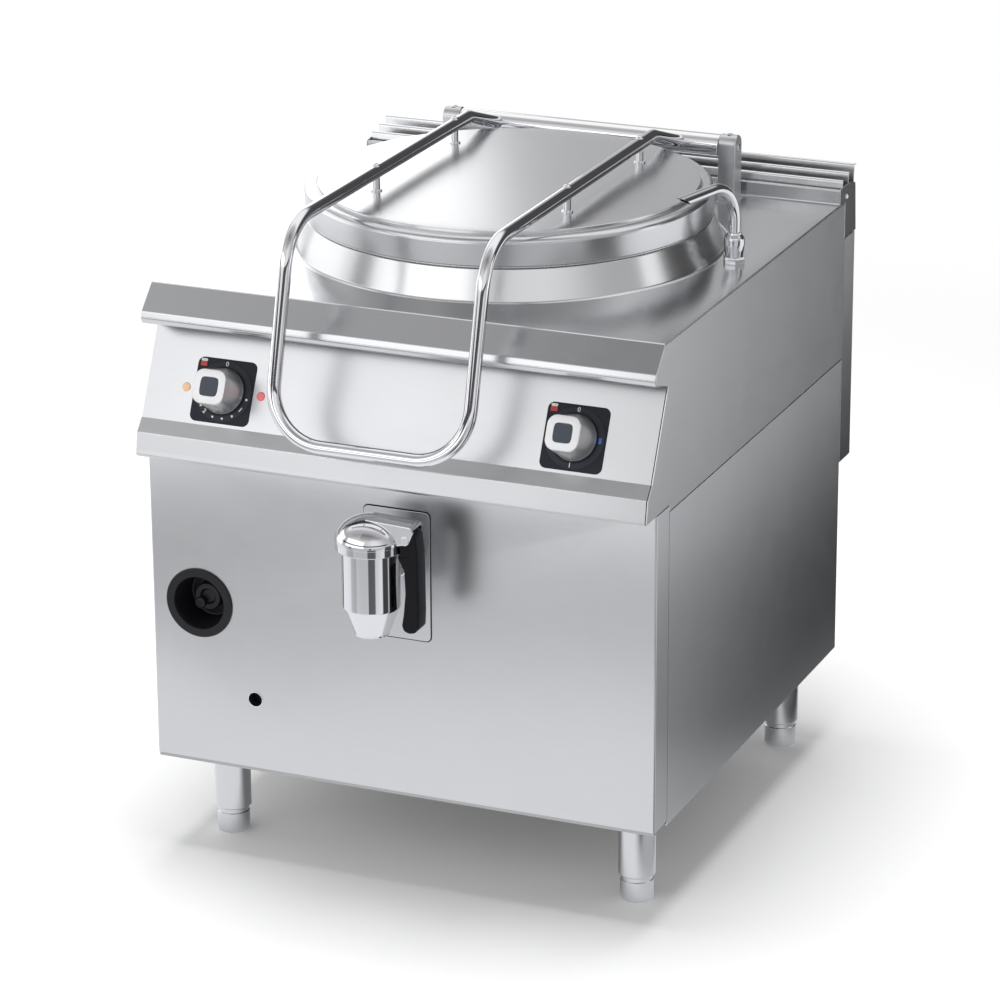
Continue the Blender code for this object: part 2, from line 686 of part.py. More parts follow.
def make_flue_housing():
    lap = BODY_DEPTH + 2 * GAP
    on_top = TOP_HEIGHT + GAP
    on_cover = DUCT_COVER_TOP + GAP
    crown = [(y, TOP_HEIGHT + rise) for y, rise in HOUSING_CROWN]
    outline = [(HOUSING_FRONT, on_top), (lap, on_top), (lap, on_cover), (HOUSING_DEPTH, on_cover)]
    outline += crown[::-1]
    housing = prism("flue_housing", outline, "X", -HALF, HALF)
    inside = HALF - PANEL_SHEET
    well = block("housing_well", (-inside, HOUSING_FRONT + PANEL_SHEET, on_cover - PANEL_SHEET),
                 (inside, HOUSING_DEPTH - PANEL_SHEET, 2 * TOP_HEIGHT))
    finish(cut(housing, well), "satin steel")
    half = inside - GAP
    for name, y, foot_rise, top_rise in LOUVRES:
        low, high = TOP_HEIGHT + foot_rise, TOP_HEIGHT + top_rise
        fold = (y + LOUVRE_LEAN, high)
        line = ((y + LOUVRE_LEAN + LOUVRE_HEM, high - LOUVRE_HEM / 4), fold, (y, low))
        blade = prism(name, sheet(line, PANEL_SHEET), "X", -half, half)
        finish(blade, "satin steel")


def make_vessel():
    inner = VESSEL_RADIUS - VESSEL_WALL
    knuckle = VESSEL_KNUCKLE
    base = arc((inner - knuckle, VESSEL_FLOOR + knuckle), knuckle, -90, 0, 3)
    outside = arc((inner - knuckle, VESSEL_FLOOR + knuckle), knuckle + VESSEL_WALL, 0, -90, 3)
    flange_low = RIM_HEIGHT - RIM_THICK
    profile = ([(0, VESSEL_FLOOR)] + base + [(inner, RIM_HEIGHT), (RIM_RADIUS, RIM_HEIGHT),
               (RIM_RADIUS, flange_low), (VESSEL_RADIUS, flange_low)]
               + outside + [(0, VESSEL_FLOOR - VESSEL_WALL)])
    vessel = turned("kettle_vessel", profile, (0, KETTLE_Y, 0), steps=KETTLE_STEPS)
    cut(vessel, rod("vessel_drain_hole", TAP_PIPE_RADIUS + GAP, (0, KETTLE_Y - VESSEL_RADIUS / 2, TAP_PIPE_Z),
                    (0, 0, TAP_PIPE_Z), TAP_PIPE_STEPS))
    finish(vessel, "satin steel")


def make_jacket():
    inner = JACKET_RADIUS - JACKET_WALL
    knuckle = JACKET_KNUCKLE
    centre = (inner - knuckle, JACKET_BOTTOM + JACKET_WALL + knuckle)
    seam = VESSEL_RADIUS + GAP
    ring_low = JACKET_TOP - JACKET_WALL
    profile = ([(0, JACKET_BOTTOM + JACKET_WALL)] + arc(centre, knuckle, -90, 0, 2)
               + [(inner, ring_low), (seam, ring_low), (seam, JACKET_TOP), (JACKET_RADIUS, JACKET_TOP)]
               + arc(centre, knuckle + JACKET_WALL, 0, -90, 2) + [(0, JACKET_BOTTOM)])
    jacket = turned("jacket_shell", profile, (0, KETTLE_Y, 0), steps=KETTLE_STEPS)
    hole = TAP_PIPE_RADIUS + GAP
    half_way = KETTLE_Y - VESSEL_RADIUS / 2
    cut(jacket, rod("jacket_drain_hole", hole, (0, half_way, TAP_PIPE_Z), (0, 0, TAP_PIPE_Z), TAP_PIPE_STEPS))
    finish(jacket, "plain steel")
    low, high = INSULATION_Z
    near = JACKET_RADIUS + GAP
    far = JACKET_RADIUS + INSULATION
    wool = turned("insulation", ((near, low), (far, low), (far, high), (near, high)),
                  (0, KETTLE_Y, 0), steps=KETTLE_STEPS)
    cut(wool, rod("wool_drain_hole", hole, (0, half_way, TAP_PIPE_Z), (0, 0, TAP_PIPE_Z), TAP_PIPE_STEPS))
    finish(wool, "glass wool")


def make_chamber():
    low = BASE_BOTTOM + BASE_HEIGHT + GAP
    high = JACKET_BOTTOM - GAP
    wall = CHAMBER_WALL
    radius = CHAMBER_RADIUS
    chamber = turned("combustion_chamber", ((radius, low), (radius, high), (radius - wall, high),
                                            (radius - wall, low)), (0, KETTLE_Y, 0), steps=32)
    mouth = FLUE_HALF + GAP
    cut(chamber, block("flue_mouth", (-mouth, KETTLE_Y, FLUE_LOW - GAP),
                       (mouth, REAR_DEPTH, FLUE_HIGH + GAP)))
    cut(chamber, rod("gas_pipe_hole", GAS_PIPE + GAP, (-HALF, KETTLE_Y, BURNER_HEIGHT),
                     (-BURNER_RADIUS, KETTLE_Y, BURNER_HEIGHT), 16))
    finish(chamber, "plain steel")


def make_flue_duct():
    wall = CHAMBER_WALL
    near = BODY_DEPTH - PANEL_SHEET - 2 * GAP
    rear = REAR_DEPTH - PANEL_SHEET - FLUE_REAR_CLEAR
    riser = BODY_DEPTH + FLUE_FRONT_CLEAR
    step, shelf = FLUE_JOG
    front_end, top_end = FLUE_FRONT, FLUE_TOP
    outside = ((front_end, FLUE_LOW), (near, FLUE_LOW), (near, step), (rear, step), (rear, top_end),
               (riser, top_end), (riser, shelf), (FLUE_RISER, shelf), (FLUE_RISER, FLUE_HIGH),
               (front_end, FLUE_HIGH))
    past = 0.01
    inside = ((front_end - past, FLUE_LOW + wall), (near - wall, FLUE_LOW + wall), (near - wall, step + wall),
              (rear - wall, step + wall), (rear - wall, top_end + past), (riser + wall, top_end + past),
              (riser + wall, shelf - wall), (FLUE_RISER + wall, shelf - wall),
              (FLUE_RISER + wall, FLUE_HIGH - wall), (front_end - past, FLUE_HIGH - wall))
    duct = prism("flue_duct", outside, "X", -FLUE_HALF, FLUE_HALF)
    finish(cut(duct, prism("flue_inside", inside, "X", -FLUE_HALF + wall, FLUE_HALF - wall)), "plain steel")


def make_burner():
    ring = turned("burner", arc((BURNER_RADIUS, BURNER_HEIGHT), BURNER_TUBE, 0, 300, 5),
                  (0, KETTLE_Y, 0), steps=28)
    foot = BASE_BOTTOM + BASE_FLOOR + GAP
    for name, x in (("burner_leg_left", -BURNER_RADIUS), ("burner_leg_right", BURNER_RADIUS)):
        fuse(ring, rod(name, BURNER_LEG, (x, KETTLE_Y, foot), (x, KETTLE_Y, BURNER_HEIGHT), 12))
    finish(ring, "cast iron")


def valve_back():
    return CUP_DEPTH + GAP + VALVE_SIZE[1]


def make_gas_line():
    half, top = VALVE_SIZE[0] / 2, VALVE_SIZE[2] / 2
    valve = block("gas_valve", (CUP_X - half, CUP_DEPTH + GAP, CUP_Z - top),
                  (CUP_X + half, valve_back(), CUP_Z + top))
    tip = GAS_KNOB_FACE + GAS_KNOB_THICK / 2
    fuse(valve, rod("gas_spindle", VALVE_SPINDLE, (CUP_X, tip, CUP_Z), (CUP_X, CUP_DEPTH + half, CUP_Z), 16))
    solenoid_x = CUP_X + half
    middle = (CUP_DEPTH + valve_back()) / 2
    fuse(valve, rod("gas_solenoid", SOLENOID_RADIUS, (CUP_X, middle, CUP_Z),
                    (solenoid_x + SOLENOID_REACH, middle, CUP_Z), 20))
    finish(valve, "brass")
    start = (CUP_X, middle, CUP_Z - top - GAP)
    path = bent_path((start, (CUP_X, middle, BURNER_HEIGHT), (CUP_X, KETTLE_Y, BURNER_HEIGHT),
                      (-BURNER_RADIUS - BURNER_TUBE - GAP, KETTLE_Y, BURNER_HEIGHT)),
                     (0.03, 0.03), steps=4)
    finish(pipe("gas_pipe", path, GAS_PIPE, sides=10), "brass")


def make_cup():
    face = -CUP_LIP - GAP
    wall = CUP_WALL
    bore = VALVE_SPINDLE + GAP
    cup = turned("recess_cup",
                 ((CUP_RADIUS - 0.001, face), (CUP_FLANGE - 0.001, face), (CUP_FLANGE, face + 0.001),
                  (CUP_FLANGE, -GAP), (CUP_RADIUS + wall, -GAP), (CUP_FLOOR_RADIUS + wall, CUP_DEPTH),
                  (bore, CUP_DEPTH), (bore, CUP_DEPTH - wall), (CUP_FLOOR_RADIUS, CUP_DEPTH - wall),
                  (CUP_RADIUS, face + 0.002)),
                 (CUP_X, 0, CUP_Z), axis=(0, 1, 0), steps=CUP_STEPS)
    finish(cup, "black plastic")
    near, far = GAS_KNOB_FACE, GAS_KNOB_FACE + GAS_KNOB_THICK
    dish, depth = GAS_KNOB_DISH
    knob = turned("valve_knob",
                  ((0, near + depth), (dish, near + depth), (dish + 0.002, near),
                   (GAS_KNOB_RADIUS - 0.002, near), (GAS_KNOB_RADIUS, near + 0.002),
                   (GAS_KNOB_RADIUS, far), (bore, far), (bore, near + depth + 0.002),
                   (0, near + depth + 0.002)),
                  (CUP_X, 0, CUP_Z), axis=(0, 1, 0), steps=24)
    lug_x, lug_z = CUP_X + KNOB_LUG[0], CUP_Z + KNOB_LUG[1]
    fuse(knob, rod("knob_lug", LUG_RADIUS, (lug_x, near - LUG_PROUD, lug_z),
                   (lug_x, near + GAS_KNOB_THICK / 4, lug_z), 20))
    finish(knob, "black plastic")
    hang_on(knob, add_empty("valve_knob_pivot", (CUP_X, near, CUP_Z), kettle_frame))


def make_tap_body():
    plate = prism("tap_plate", [(x, z + TAP_PLATE_Z) for x, z in
                                rounded_rectangle(*TAP_PLATE, TAP_PLATE_CORNER)],
                  "Y", -TAP_PLATE_SHEET - GAP, -GAP)
    reach = 3 * TAP_PLATE_SHEET
    cut(plate, rod("plate_hole", TAP_PIPE_RADIUS + GAP, (0, -reach, TAP_PIPE_Z), (0, reach, TAP_PIPE_Z),
                   TAP_PIPE_STEPS))
    finish(plate, "satin steel")
    seat_low, seat_high = TAP_SEAT_Z
    body = turned("tap_body",
                  ((TAP_OUTLET_RADIUS, TAP_OUTLET_Z), (TAP_RADIUS, TAP_CONE_TOP), (TAP_RADIUS, TAP_TOP),
                   (TAP_BORE, TAP_TOP), (TAP_BORE, seat_high), (TAP_OUTLET_BORE, seat_low),
                   (TAP_OUTLET_BORE, TAP_OUTLET_Z)),
                  (0, TAP_Y, 0), steps=TAP_STEPS)
    stub_end = -TAP_PLATE_SHEET - 2 * GAP
    bore = TAP_PIPE_RADIUS - TAP_PIPE_WALL
    root = math.sqrt(TAP_RADIUS ** 2 - TAP_STUB_RADIUS ** 2) - GAP
    fuse(body, rod("tap_stub", TAP_STUB_RADIUS, (0, TAP_Y + root, TAP_PIPE_Z), (0, stub_end, TAP_PIPE_Z)))
    cut(body, rod("stub_bore", bore, (0, TAP_Y, TAP_PIPE_Z), (0, 0, TAP_PIPE_Z)))
    finish(body, "chrome")
    start = KETTLE_Y - VESSEL_RADIUS + 0.0015
    drain = turned("drain_pipe", ((TAP_PIPE_RADIUS, -TAP_PLATE_SHEET), (TAP_PIPE_RADIUS, start),
                                  (bore, start), (bore, -TAP_PLATE_SHEET)),
                   (0, 0, TAP_PIPE_Z), axis=(0, 1, 0), steps=TAP_PIPE_STEPS)
    finish(drain, "satin steel")


def make_tap_cap():
    inner = TAP_RADIUS + GAP
    shoulder = TAP_TOP + GAP
    dome = arc((0, 0), 1.0, 0, 90, 5)
    rise, hollow = CAP_TOP - CAP_DOME_Z, CAP_TOP - CAP_WALL - shoulder
    outside = [(CAP_RADIUS * c, CAP_DOME_Z + rise * s) for c, s in dome]
    room = TAP_BORE
    inside = [(room * c, shoulder + hollow * s) for c, s in reversed(dome)]
    profile = [(0, CAP_TOP)] + outside[-2::-1] + [(CAP_RADIUS, CAP_BOTTOM + 0.002),
               (CAP_RADIUS - 0.002, CAP_BOTTOM), (inner, CAP_BOTTOM), (inner, shoulder)]
    profile += inside[:0:-1] + [(0, shoulder + hollow)]
    cap = turned("tap_cap", profile, (0, TAP_Y, 0), steps=TAP_STEPS)
    top = CAP_TOP - 0.001
    nose = [(BRACKET_X - back, top - drop) for back, drop in BRACKET_TOP]
    foot = CAP_RADIUS - CAP_WALL
    outline = [(0.0, top)] + nose + [(foot, top - BRACKET_DROP), (foot - CAP_WALL / 2, shoulder + 0.003),
                                     (0.0, top - 3 * CAP_WALL)]
    bracket = prism("cap_bracket", outline, "Y", TAP_Y - BRACKET_HALF, TAP_Y + BRACKET_HALF)
    fuse(cap, bracket)
    slot_low = CAP_BOTTOM - 0.02
    (roof_in, roof_drop), (_, mouth_drop) = SLOT_ROOF
    slot = prism("lever_slot", ((0.0, slot_low), (2 * BRACKET_X, slot_low), (2 * BRACKET_X, top - mouth_drop),
                                (BRACKET_X - roof_in, top - roof_drop), (0.0, top - roof_drop + 0.002)), "Y",
                 TAP_Y - BRACKET_SLOT, TAP_Y + BRACKET_SLOT)
    body_room = rod("cap_body_room", TAP_RADIUS + CAP_WALL, (0, TAP_Y, slot_low - 0.01),
                    (0, TAP_Y, shoulder), TAP_STEPS)
    cut(slot, body_room)
    cut(cap, slot)
    cut(cap, rod("pin_hole", PIN_RADIUS + GAP, (LEVER_X, TAP_Y - 2 * BRACKET_HALF, LEVER_Z),
                 (LEVER_X, TAP_Y + 2 * BRACKET_HALF, LEVER_Z), 20))
    finish(cap, "chrome")
    half, head = BRACKET_HALF + GAP, PIN_HEAD_THICK
    pin = turned("tap_pin", ((0, -half - head), (PIN_HEAD, -half - head), (PIN_HEAD, -half),
                             (PIN_RADIUS, -half), (PIN_RADIUS, half), (PIN_HEAD, half),
                             (PIN_HEAD, half + head), (0, half + head)),
                 (LEVER_X, TAP_Y, LEVER_Z), axis=(0, 1, 0), steps=20)
    finish(pin, "chrome")


def make_tap_lever():
    hub = arc((LEVER_X, LEVER_Z), LEVER_HUB, 0, 170, 8)
    outline = hub + [(LEVER_X + x, LEVER_Z + z) for x, z in LEVER_SHAPE]
    lever = prism("tap_lever", outline, "Y", TAP_Y - LEVER_HALF, TAP_Y + LEVER_HALF)
    soften = lever.modifiers.new("soft edges", "BEVEL")
    soften.width = LEVER_SOFT
    soften.segments = 2
    soften.limit_method = "ANGLE"
    soften.angle_limit = math.radians(60)
    cut(lever, rod("lever_bore", PIN_RADIUS + GAP, (LEVER_X, TAP_Y - 2 * LEVER_HALF, LEVER_Z),
                   (LEVER_X, TAP_Y + 2 * LEVER_HALF, LEVER_Z), 20))
    finish(lever, "black plastic")
    hang_on(lever, add_empty("tap_lever_pivot", (LEVER_X, TAP_Y, LEVER_Z), kettle_frame))
    seat_low, seat_high = TAP_SEAT_Z
    slope = (TAP_BORE - TAP_OUTLET_BORE) / (seat_high - seat_low)
    clear = GAP * math.hypot(1, slope) * 1.1
    low = seat_low + PLUG_LIFT
    high = low + PLUG_HEIGHT
    wide = [TAP_OUTLET_BORE + slope * (z - seat_low) - clear for z in (low, high)]
    top = TAP_TOP + 0.002
    button = top - PLUG_BUTTON
    plug = turned("tap_plug", ((0, low), (wide[0], low), (wide[1], high), (PLUG_STEM, high + 0.004),
                               (PLUG_STEM, button), (2 * PLUG_STEM, button),
                               (2 * PLUG_STEM, top), (0, top)), (0, TAP_Y, 0), steps=TAP_STEPS)
    finish(plug, "chrome")
    hang_on(plug, add_empty("tap_plug_pivot", (0, TAP_Y, low), kettle_frame))


def make_spout():
    on_top = TOP_HEIGHT + GAP
    nut_top = on_top + NUT_HEIGHT
    corners = [(SPOUT_X + NUT_CORNERS * math.cos(math.radians(60 * i + 20)),
                SPOUT_Y + NUT_CORNERS * math.sin(math.radians(60 * i + 20))) for i in range(6)]
    nut = prism("spout_gland", corners, "Z", on_top, nut_top)
    neck = SPOUT_TUBE + GAP
    shoulder = nut_top - 0.001
    shape = [(GLAND_RADIUS + wider, nut_top + rise) for wider, rise in GLAND_SHAPE]
    dome = [(neck, shoulder), (shape[0][0], shoulder)] + shape
    dome += [(neck + 0.0012, GLAND_TOP), (neck, GLAND_TOP)]
    fuse(nut, turned("gland_dome", dome, (SPOUT_X, SPOUT_Y, 0), steps=20))
    past = TOP_SHEET
    cut(nut, rod("gland_bore", neck, (SPOUT_X, SPOUT_Y, on_top - past), (SPOUT_X, SPOUT_Y, GLAND_TOP + past)))
    finish(nut, "chrome")
    top = SPOUT_BEND_Z + SPOUT_BEND
    tip = (SPOUT_X - SPOUT_REACH * math.cos(SPOUT_PARK), SPOUT_Y - SPOUT_REACH * math.sin(SPOUT_PARK), top)
    path = bent_path(((SPOUT_X, SPOUT_Y, TOP_HEIGHT - TOP_SHEET), (SPOUT_X, SPOUT_Y, top), tip),
                     (SPOUT_BEND,), steps=7)
    tube = pipe("spout_tube", path, SPOUT_TUBE, SPOUT_TUBE - SPOUT_WALL)
    finish(tube, "chrome")
    hang_on(tube, add_empty("spout_pivot", (SPOUT_X, SPOUT_Y, TOP_HEIGHT), kettle_frame))


def make_water_line():
    behind = -PANEL_SHEET - GAP
    valve = panel_rod("water_valve", DIAL_X, WATER_BODY, behind - WATER_BODY_LENGTH, behind)
    fuse(valve, panel_rod("water_spindle", DIAL_X, SPINDLE_RADIUS, -0.01, SPINDLE_LENGTH, 20))
    finish(valve, "brass")
    middle = panel_place(DIAL_X) @ Vector((0, 0, -PANEL_SHEET - WATER_PORT))
    port = Vector((WATER_BODY + GAP, 0, 0))
    start = (SPOUT_X, SPOUT_Y, TOP_HEIGHT - TOP_SHEET - GAP)
    shelf = TOP_HEIGHT - WATER_DROP
    path = bent_path((start, (SPOUT_X, SPOUT_Y, shelf), (SPOUT_X, WATER_FRONT, shelf),
                      (SPOUT_X, WATER_FRONT, middle.z), (SPOUT_X, middle.y, middle.z), tuple(middle + port)),
                     (WATER_BEND,) * 4, steps=4)
    finish(pipe("water_pipe", path, WATER_PIPE, sides=10), "plain steel")


def make_regulator():
    flat = rounded_rectangle(REGULATOR_SIZE, REGULATOR_SIZE, 0.004, 2)
    body = prism("heat_regulator", flat, "Z", -PANEL_SHEET - GAP - REGULATOR_DEPTH, -PANEL_SHEET - GAP)
    move_to(body, panel_place(-DIAL_X))
    fuse(body, panel_rod("regulator_spindle", -DIAL_X, SPINDLE_RADIUS, -0.01, SPINDLE_LENGTH, 20))
    finish(body, "slate plastic")


def square_reach(angle, half, corner):
    """Distance from the middle of a rounded square to its edge, at an angle."""
    c, s = abs(math.cos(angle)), abs(math.sin(angle))
    c, s = max(c, s), min(c, s)
    flat = half / c
    if flat * s <= half - corner:
        return flat
    k = half - corner
    along = k * (c + s)
    return along + math.sqrt(corner ** 2 - (2 * k * k - along ** 2))


def make_dial(side, x):
    outline = rounded_rectangle(DIAL_SIZE, DIAL_SIZE, DIAL_CORNER)
    plate = move_to(prism(f"dial_plate_{side}", outline, "Z", GAP, GAP + DIAL_SHEET), panel_place(x))
    cut(plate, panel_rod(f"dial_bore_{side}", x, DIAL_BORE, -0.005, 0.005))
    finish(plate, "slate plastic")
    base = DIAL_SHEET + 2 * GAP
    stack = ((base, 0.97, 0.0), (base + 0.003, 1.0, 0.0), (base + 0.012, 0.985, 0.05),
             (base + 0.030, 0.93, 0.35), (KNOB_HEIGHT - 0.010, 0.90, 0.85),
             (KNOB_HEIGHT - 0.002, 0.90, 1.0), (KNOB_HEIGHT, 0.86, 1.0))
    place = panel_place(x)
    angles = [2 * math.pi * i / KNOB_STEPS for i in range(KNOB_STEPS)]
    rings = []
    for height, size, square in stack:
        ring = []
        for angle in angles:
            face = square_reach(angle, KNOB_FACE / 0.90, KNOB_CORNER / 0.90)
            reach = size * ((1 - square) * KNOB_RADIUS + square * face)
            ring.append(place @ Vector((reach * math.cos(angle), reach * math.sin(angle), height)))
        rings.append(ring)
    knob = loft(f"knob_{side}", rings)
    cut(knob, panel_rod(f"knob_bore_{side}", x, DIAL_BORE, -0.005, SPINDLE_LENGTH + GAP))
    finish(knob, "silver plastic")
    hang_on(knob, add_empty(f"knob_pivot_{side}", place.translation, kettle_frame))


def make_lamp(name, x, kind):
    place = panel_place(x)
    edge, slope, crown = LAMP_FACE
    profile = ((0, -LAMP_DEPTH), (LAMP_STEM, -LAMP_DEPTH), (LAMP_STEM, GAP), (LAMP_RADIUS, GAP),
               (LAMP_RADIUS, edge), (LAMP_RADIUS * 0.8, slope), (0, crown))
    lamp = turned(name, profile, steps=14)
    finish(move_to(lamp, place), kind)


def make_post(name, side):
    half = POST_DEPTH / 2
    foot = TOP_HEIGHT + GAP
    crown = HINGE_Z + POST_OVER - half
    outline = [(HINGE_Y - half, foot), (HINGE_Y + half, foot)] + arc((HINGE_Y, crown), half, 0, 180, 10)
    inner, outer = sorted((side * POST_INNER, side * (POST_INNER + POST_WIDTH)))
    post = prism(name, outline, "X", inner, outer)
    wider, thick = POST_FOOT
    fuse(post, block(name + "_foot", (inner - wider, HINGE_Y - half - wider, foot),
                     (outer + wider, HINGE_Y + half + wider, foot + thick)))
    end = POST_INNER + POST_WIDTH - POST_SKIN
    cut(post, rod(name + "_bore", SHAFT_RADIUS + GAP, (side * (POST_INNER - 0.01), HINGE_Y, HINGE_Z),
                  (side * end, HINGE_Y, HINGE_Z)))
    finish(post, "satin steel")


def make_hinge(pivot):
    reach = POST_INNER + POST_WIDTH - POST_SKIN - GAP
    centre = (0, HINGE_Y, HINGE_Z)
    finish(rod("hinge_shaft", SHAFT_RADIUS, (-reach, HINGE_Y, HINGE_Z), (reach, HINGE_Y, HINGE_Z)),
           "plain steel")
    end = POST_INNER - GAP
    bore = SHAFT_RADIUS + GAP
    shoulder = end - HINGE_PLUG
    tube = turned("hinge_tube", ((HINGE_TUBE, -end), (HINGE_TUBE, end), (bore, end), (bore, shoulder),
                                 (HINGE_BORE, shoulder), (HINGE_BORE, -shoulder), (bore, -shoulder),
                                 (bore, -end)), centre, axis=(1, 0, 0), steps=HINGE_STEPS)
    finish(tube, "chrome")
    hang_on(tube, pivot)
    length = 0.120
    first = shoulder - GAP - SPRING_WIRE - length
    count = SPRING_TURNS * 8
    coil = []
    for i in range(count + 1):
        turn = 2 * math.pi * SPRING_TURNS * i / count
        coil.append(Vector((first + length * i / count, HINGE_Y + SPRING_RADIUS * math.cos(turn),
                            HINGE_Z + SPRING_RADIUS * math.sin(turn))))
    finish(pipe("lid_spring", coil, SPRING_WIRE, sides=4), "plain steel")


def make_lid(pivot):
    low = RIM_HEIGHT + GAP
    edge = arc((LID_RADIUS - LID_EDGE, LID_SIDE_TOP), LID_EDGE, 0, 90, 4)
    lid_flat = LID_SIDE_TOP + LID_EDGE
    shoulder = LID_RADIUS - LID_EDGE - LID_SHOULDER
    sheet_t = LID_SHEET
    outside = ([(0, LID_DISC_Z + LID_CROWN), (LID_DISC / 2, LID_DISC_Z + LID_CROWN * 0.75),
                (LID_DISC - 0.004, LID_DISC_Z), (LID_DISC, LID_DISC_Z - 0.001)]
               + [(shoulder, lid_flat)] + edge[::-1] + [(LID_RADIUS, low + 0.001), (LID_RADIUS - 0.001, low)])
    inner = LID_RADIUS - sheet_t
    hem = inner - LID_HEM
    inside = [(hem, low), (hem, low + sheet_t), (inner, low + sheet_t),
              (inner, LID_SIDE_TOP), (inner - LID_EDGE, lid_flat - sheet_t),
              (LID_DISC - sheet_t, LID_DISC_Z - sheet_t - 0.003),
              (LID_DISC / 2, LID_DISC_Z + LID_CROWN * 0.75 - sheet_t), (0, LID_DISC_Z + LID_CROWN - sheet_t)]
    lid = turned("lid_shell", outside + inside, (0, KETTLE_Y, 0), steps=KETTLE_STEPS)
    finish(lid, "satin steel")
    hang_on(lid, pivot)


def make_handle(pivot):
    def half_path(side):
        return [(side * ARM_X, HINGE_Y, HINGE_Z), (side * ARM_X, HINGE_Y - ARM_KNEE, ARM_Z),
                (side * ARM_X, ARM_CORNER_Y, ARM_Z), (side * ARM_X, LOOP_Y, LOOP_Z)]

    corners = half_path(-1) + half_path(1)[::-1]
    radii = (ARM_REAR_BEND, ARM_FRONT_BEND, LOOP_CORNER, LOOP_CORNER, ARM_FRONT_BEND, ARM_REAR_BEND)
    path = bent_path(corners, radii)
    handle = pipe("lid_handle", path, ARM_TUBE, ARM_TUBE - ARM_WALL)
    mouth = HALF / 2
    cut(handle, rod("handle_mouth", HINGE_TUBE + GAP, (-mouth, HINGE_Y, HINGE_Z), (mouth, HINGE_Y, HINGE_Z),
                    HINGE_STEPS))
    finish(handle, "chrome")
    hang_on(handle, pivot)
    for place, x, y in (("front_left", -1, -1), ("front_right", 1, -1), ("rear_left", -1, 1),
                        ("rear_right", 1, 1)):
        spot_x, spot_y = x * ARM_X, KETTLE_Y + y * STUD_OFFSET
        share = 1 - math.hypot(spot_x, STUD_OFFSET) / LID_DISC
        foot = LID_DISC_Z + LID_CROWN * 1.5 * share + GAP
        base, top = 1.5 * STUD_RADIUS, ARM_Z - ARM_TUBE / 2
        stud = turned(f"lid_stud_{place}", ((0, foot), (base, foot), (base, foot + 0.0015),
                                            (STUD_RADIUS, foot + 0.002), (STUD_RADIUS, top), (0, top)),
                      (spot_x, spot_y, 0), steps=16)
        reach = 4 * STUD_RADIUS
        cut(stud, rod(f"stud_saddle_{place}", ARM_TUBE + GAP, (spot_x, spot_y - reach, ARM_Z),
                      (spot_x, spot_y + reach, ARM_Z)))
        finish(stud, "chrome")
        hang_on(stud, pivot)


def make_safety_valve():
    middle = (VESSEL_RADIUS + JACKET_RADIUS) / 2
    x, y = middle * math.cos(SAFETY_ANGLE), KETTLE_Y + middle * math.sin(SAFETY_ANGLE)
    foot = JACKET_TOP + GAP
    shape = [(radius, foot + rise) for radius, rise in SAFETY_SHAPE]
    valve = turned("safety_valve", [(0, foot)] + shape + [(0, shape[-1][1] + 0.001)], (x, y, 0), steps=20)
    finish(valve, "brass")


clear_scene()
kettle_frame = add_empty("kettle_frame", (0, -ORIGIN_Y, 0))
lid_pivot = add_empty("lid_pivot", (0, HINGE_Y, HINGE_Z), kettle_frame)
make_base_frame()
for row, leg_y in zip(("front", "rear"), LEG_Y):
    for hand, leg_x in (("left", -LEG_X), ("right", LEG_X)):
        make_leg(f"{row}_{hand}", leg_x, leg_y)
make_front_panel()
make_side_panel("side_panel_left", -1)
make_side_panel("side_panel_right", 1)
make_back()
make_worktop()
make_control_panel()
make_flue_housing()
make_vessel()
make_jacket()
make_chamber()
make_flue_duct()
make_burner()
make_gas_line()
make_cup()
make_tap_body()
make_tap_cap()
make_tap_lever()
make_spout()
make_water_line()
make_regulator()
make_dial("left", -DIAL_X)
make_dial("right", DIAL_X)
make_lamp("lamp_orange", -DIAL_X - LAMP_OFFSET, "orange lens")
make_lamp("lamp_red", -DIAL_X + LAMP_OFFSET, "red lens")
make_post("hinge_post_left", -1)
make_post("hinge_post_right", 1)
make_hinge(lid_pivot)
make_lid(lid_pivot)
make_handle(lid_pivot)
make_safety_valve()
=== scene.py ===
import math

import bmesh
import bpy
import numpy as np
from mathutils import Matrix, Vector


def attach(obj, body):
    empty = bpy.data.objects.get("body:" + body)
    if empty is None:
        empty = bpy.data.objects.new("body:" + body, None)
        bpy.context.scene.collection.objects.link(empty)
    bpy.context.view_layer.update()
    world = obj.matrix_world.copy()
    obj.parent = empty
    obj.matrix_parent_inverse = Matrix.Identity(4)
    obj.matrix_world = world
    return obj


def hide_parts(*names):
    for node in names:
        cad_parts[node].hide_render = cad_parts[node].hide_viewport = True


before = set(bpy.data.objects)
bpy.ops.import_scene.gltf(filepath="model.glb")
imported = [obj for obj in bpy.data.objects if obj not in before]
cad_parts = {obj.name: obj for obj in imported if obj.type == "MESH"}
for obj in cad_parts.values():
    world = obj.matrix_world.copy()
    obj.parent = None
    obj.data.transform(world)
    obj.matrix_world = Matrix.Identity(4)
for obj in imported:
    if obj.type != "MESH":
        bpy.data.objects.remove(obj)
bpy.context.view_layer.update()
frontY = -0.35825  # world depth of the lower front panel's face; depths below start there
kettleY = 0.422    # depth of the kettle's axis
hands = (("left", -1), ("right", 1))
# merging distance, a bend's support points over its radius, half angle of a straight corner, sharp angle
meshSizes = {"weld": 2e-6, "support": 0.12, "straight": 1.55, "sharp": 38}
finishes, slots = {}, {}
print("frame loaded:", len(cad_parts), "nodes")


# Curves and grids. A profile or a path is an array with one row for each point.

def arc(centre, radius, start, end, steps):
    # points on a circle from angle start to angle end, in degrees
    a = np.radians(np.linspace(start, end, steps + 1))
    return np.stack([centre[0] + radius * np.cos(a), centre[1] + radius * np.sin(a)], 1)


def unit(v):
    return v / np.maximum(np.linalg.norm(v, axis=-1, keepdims=True), 1e-12)


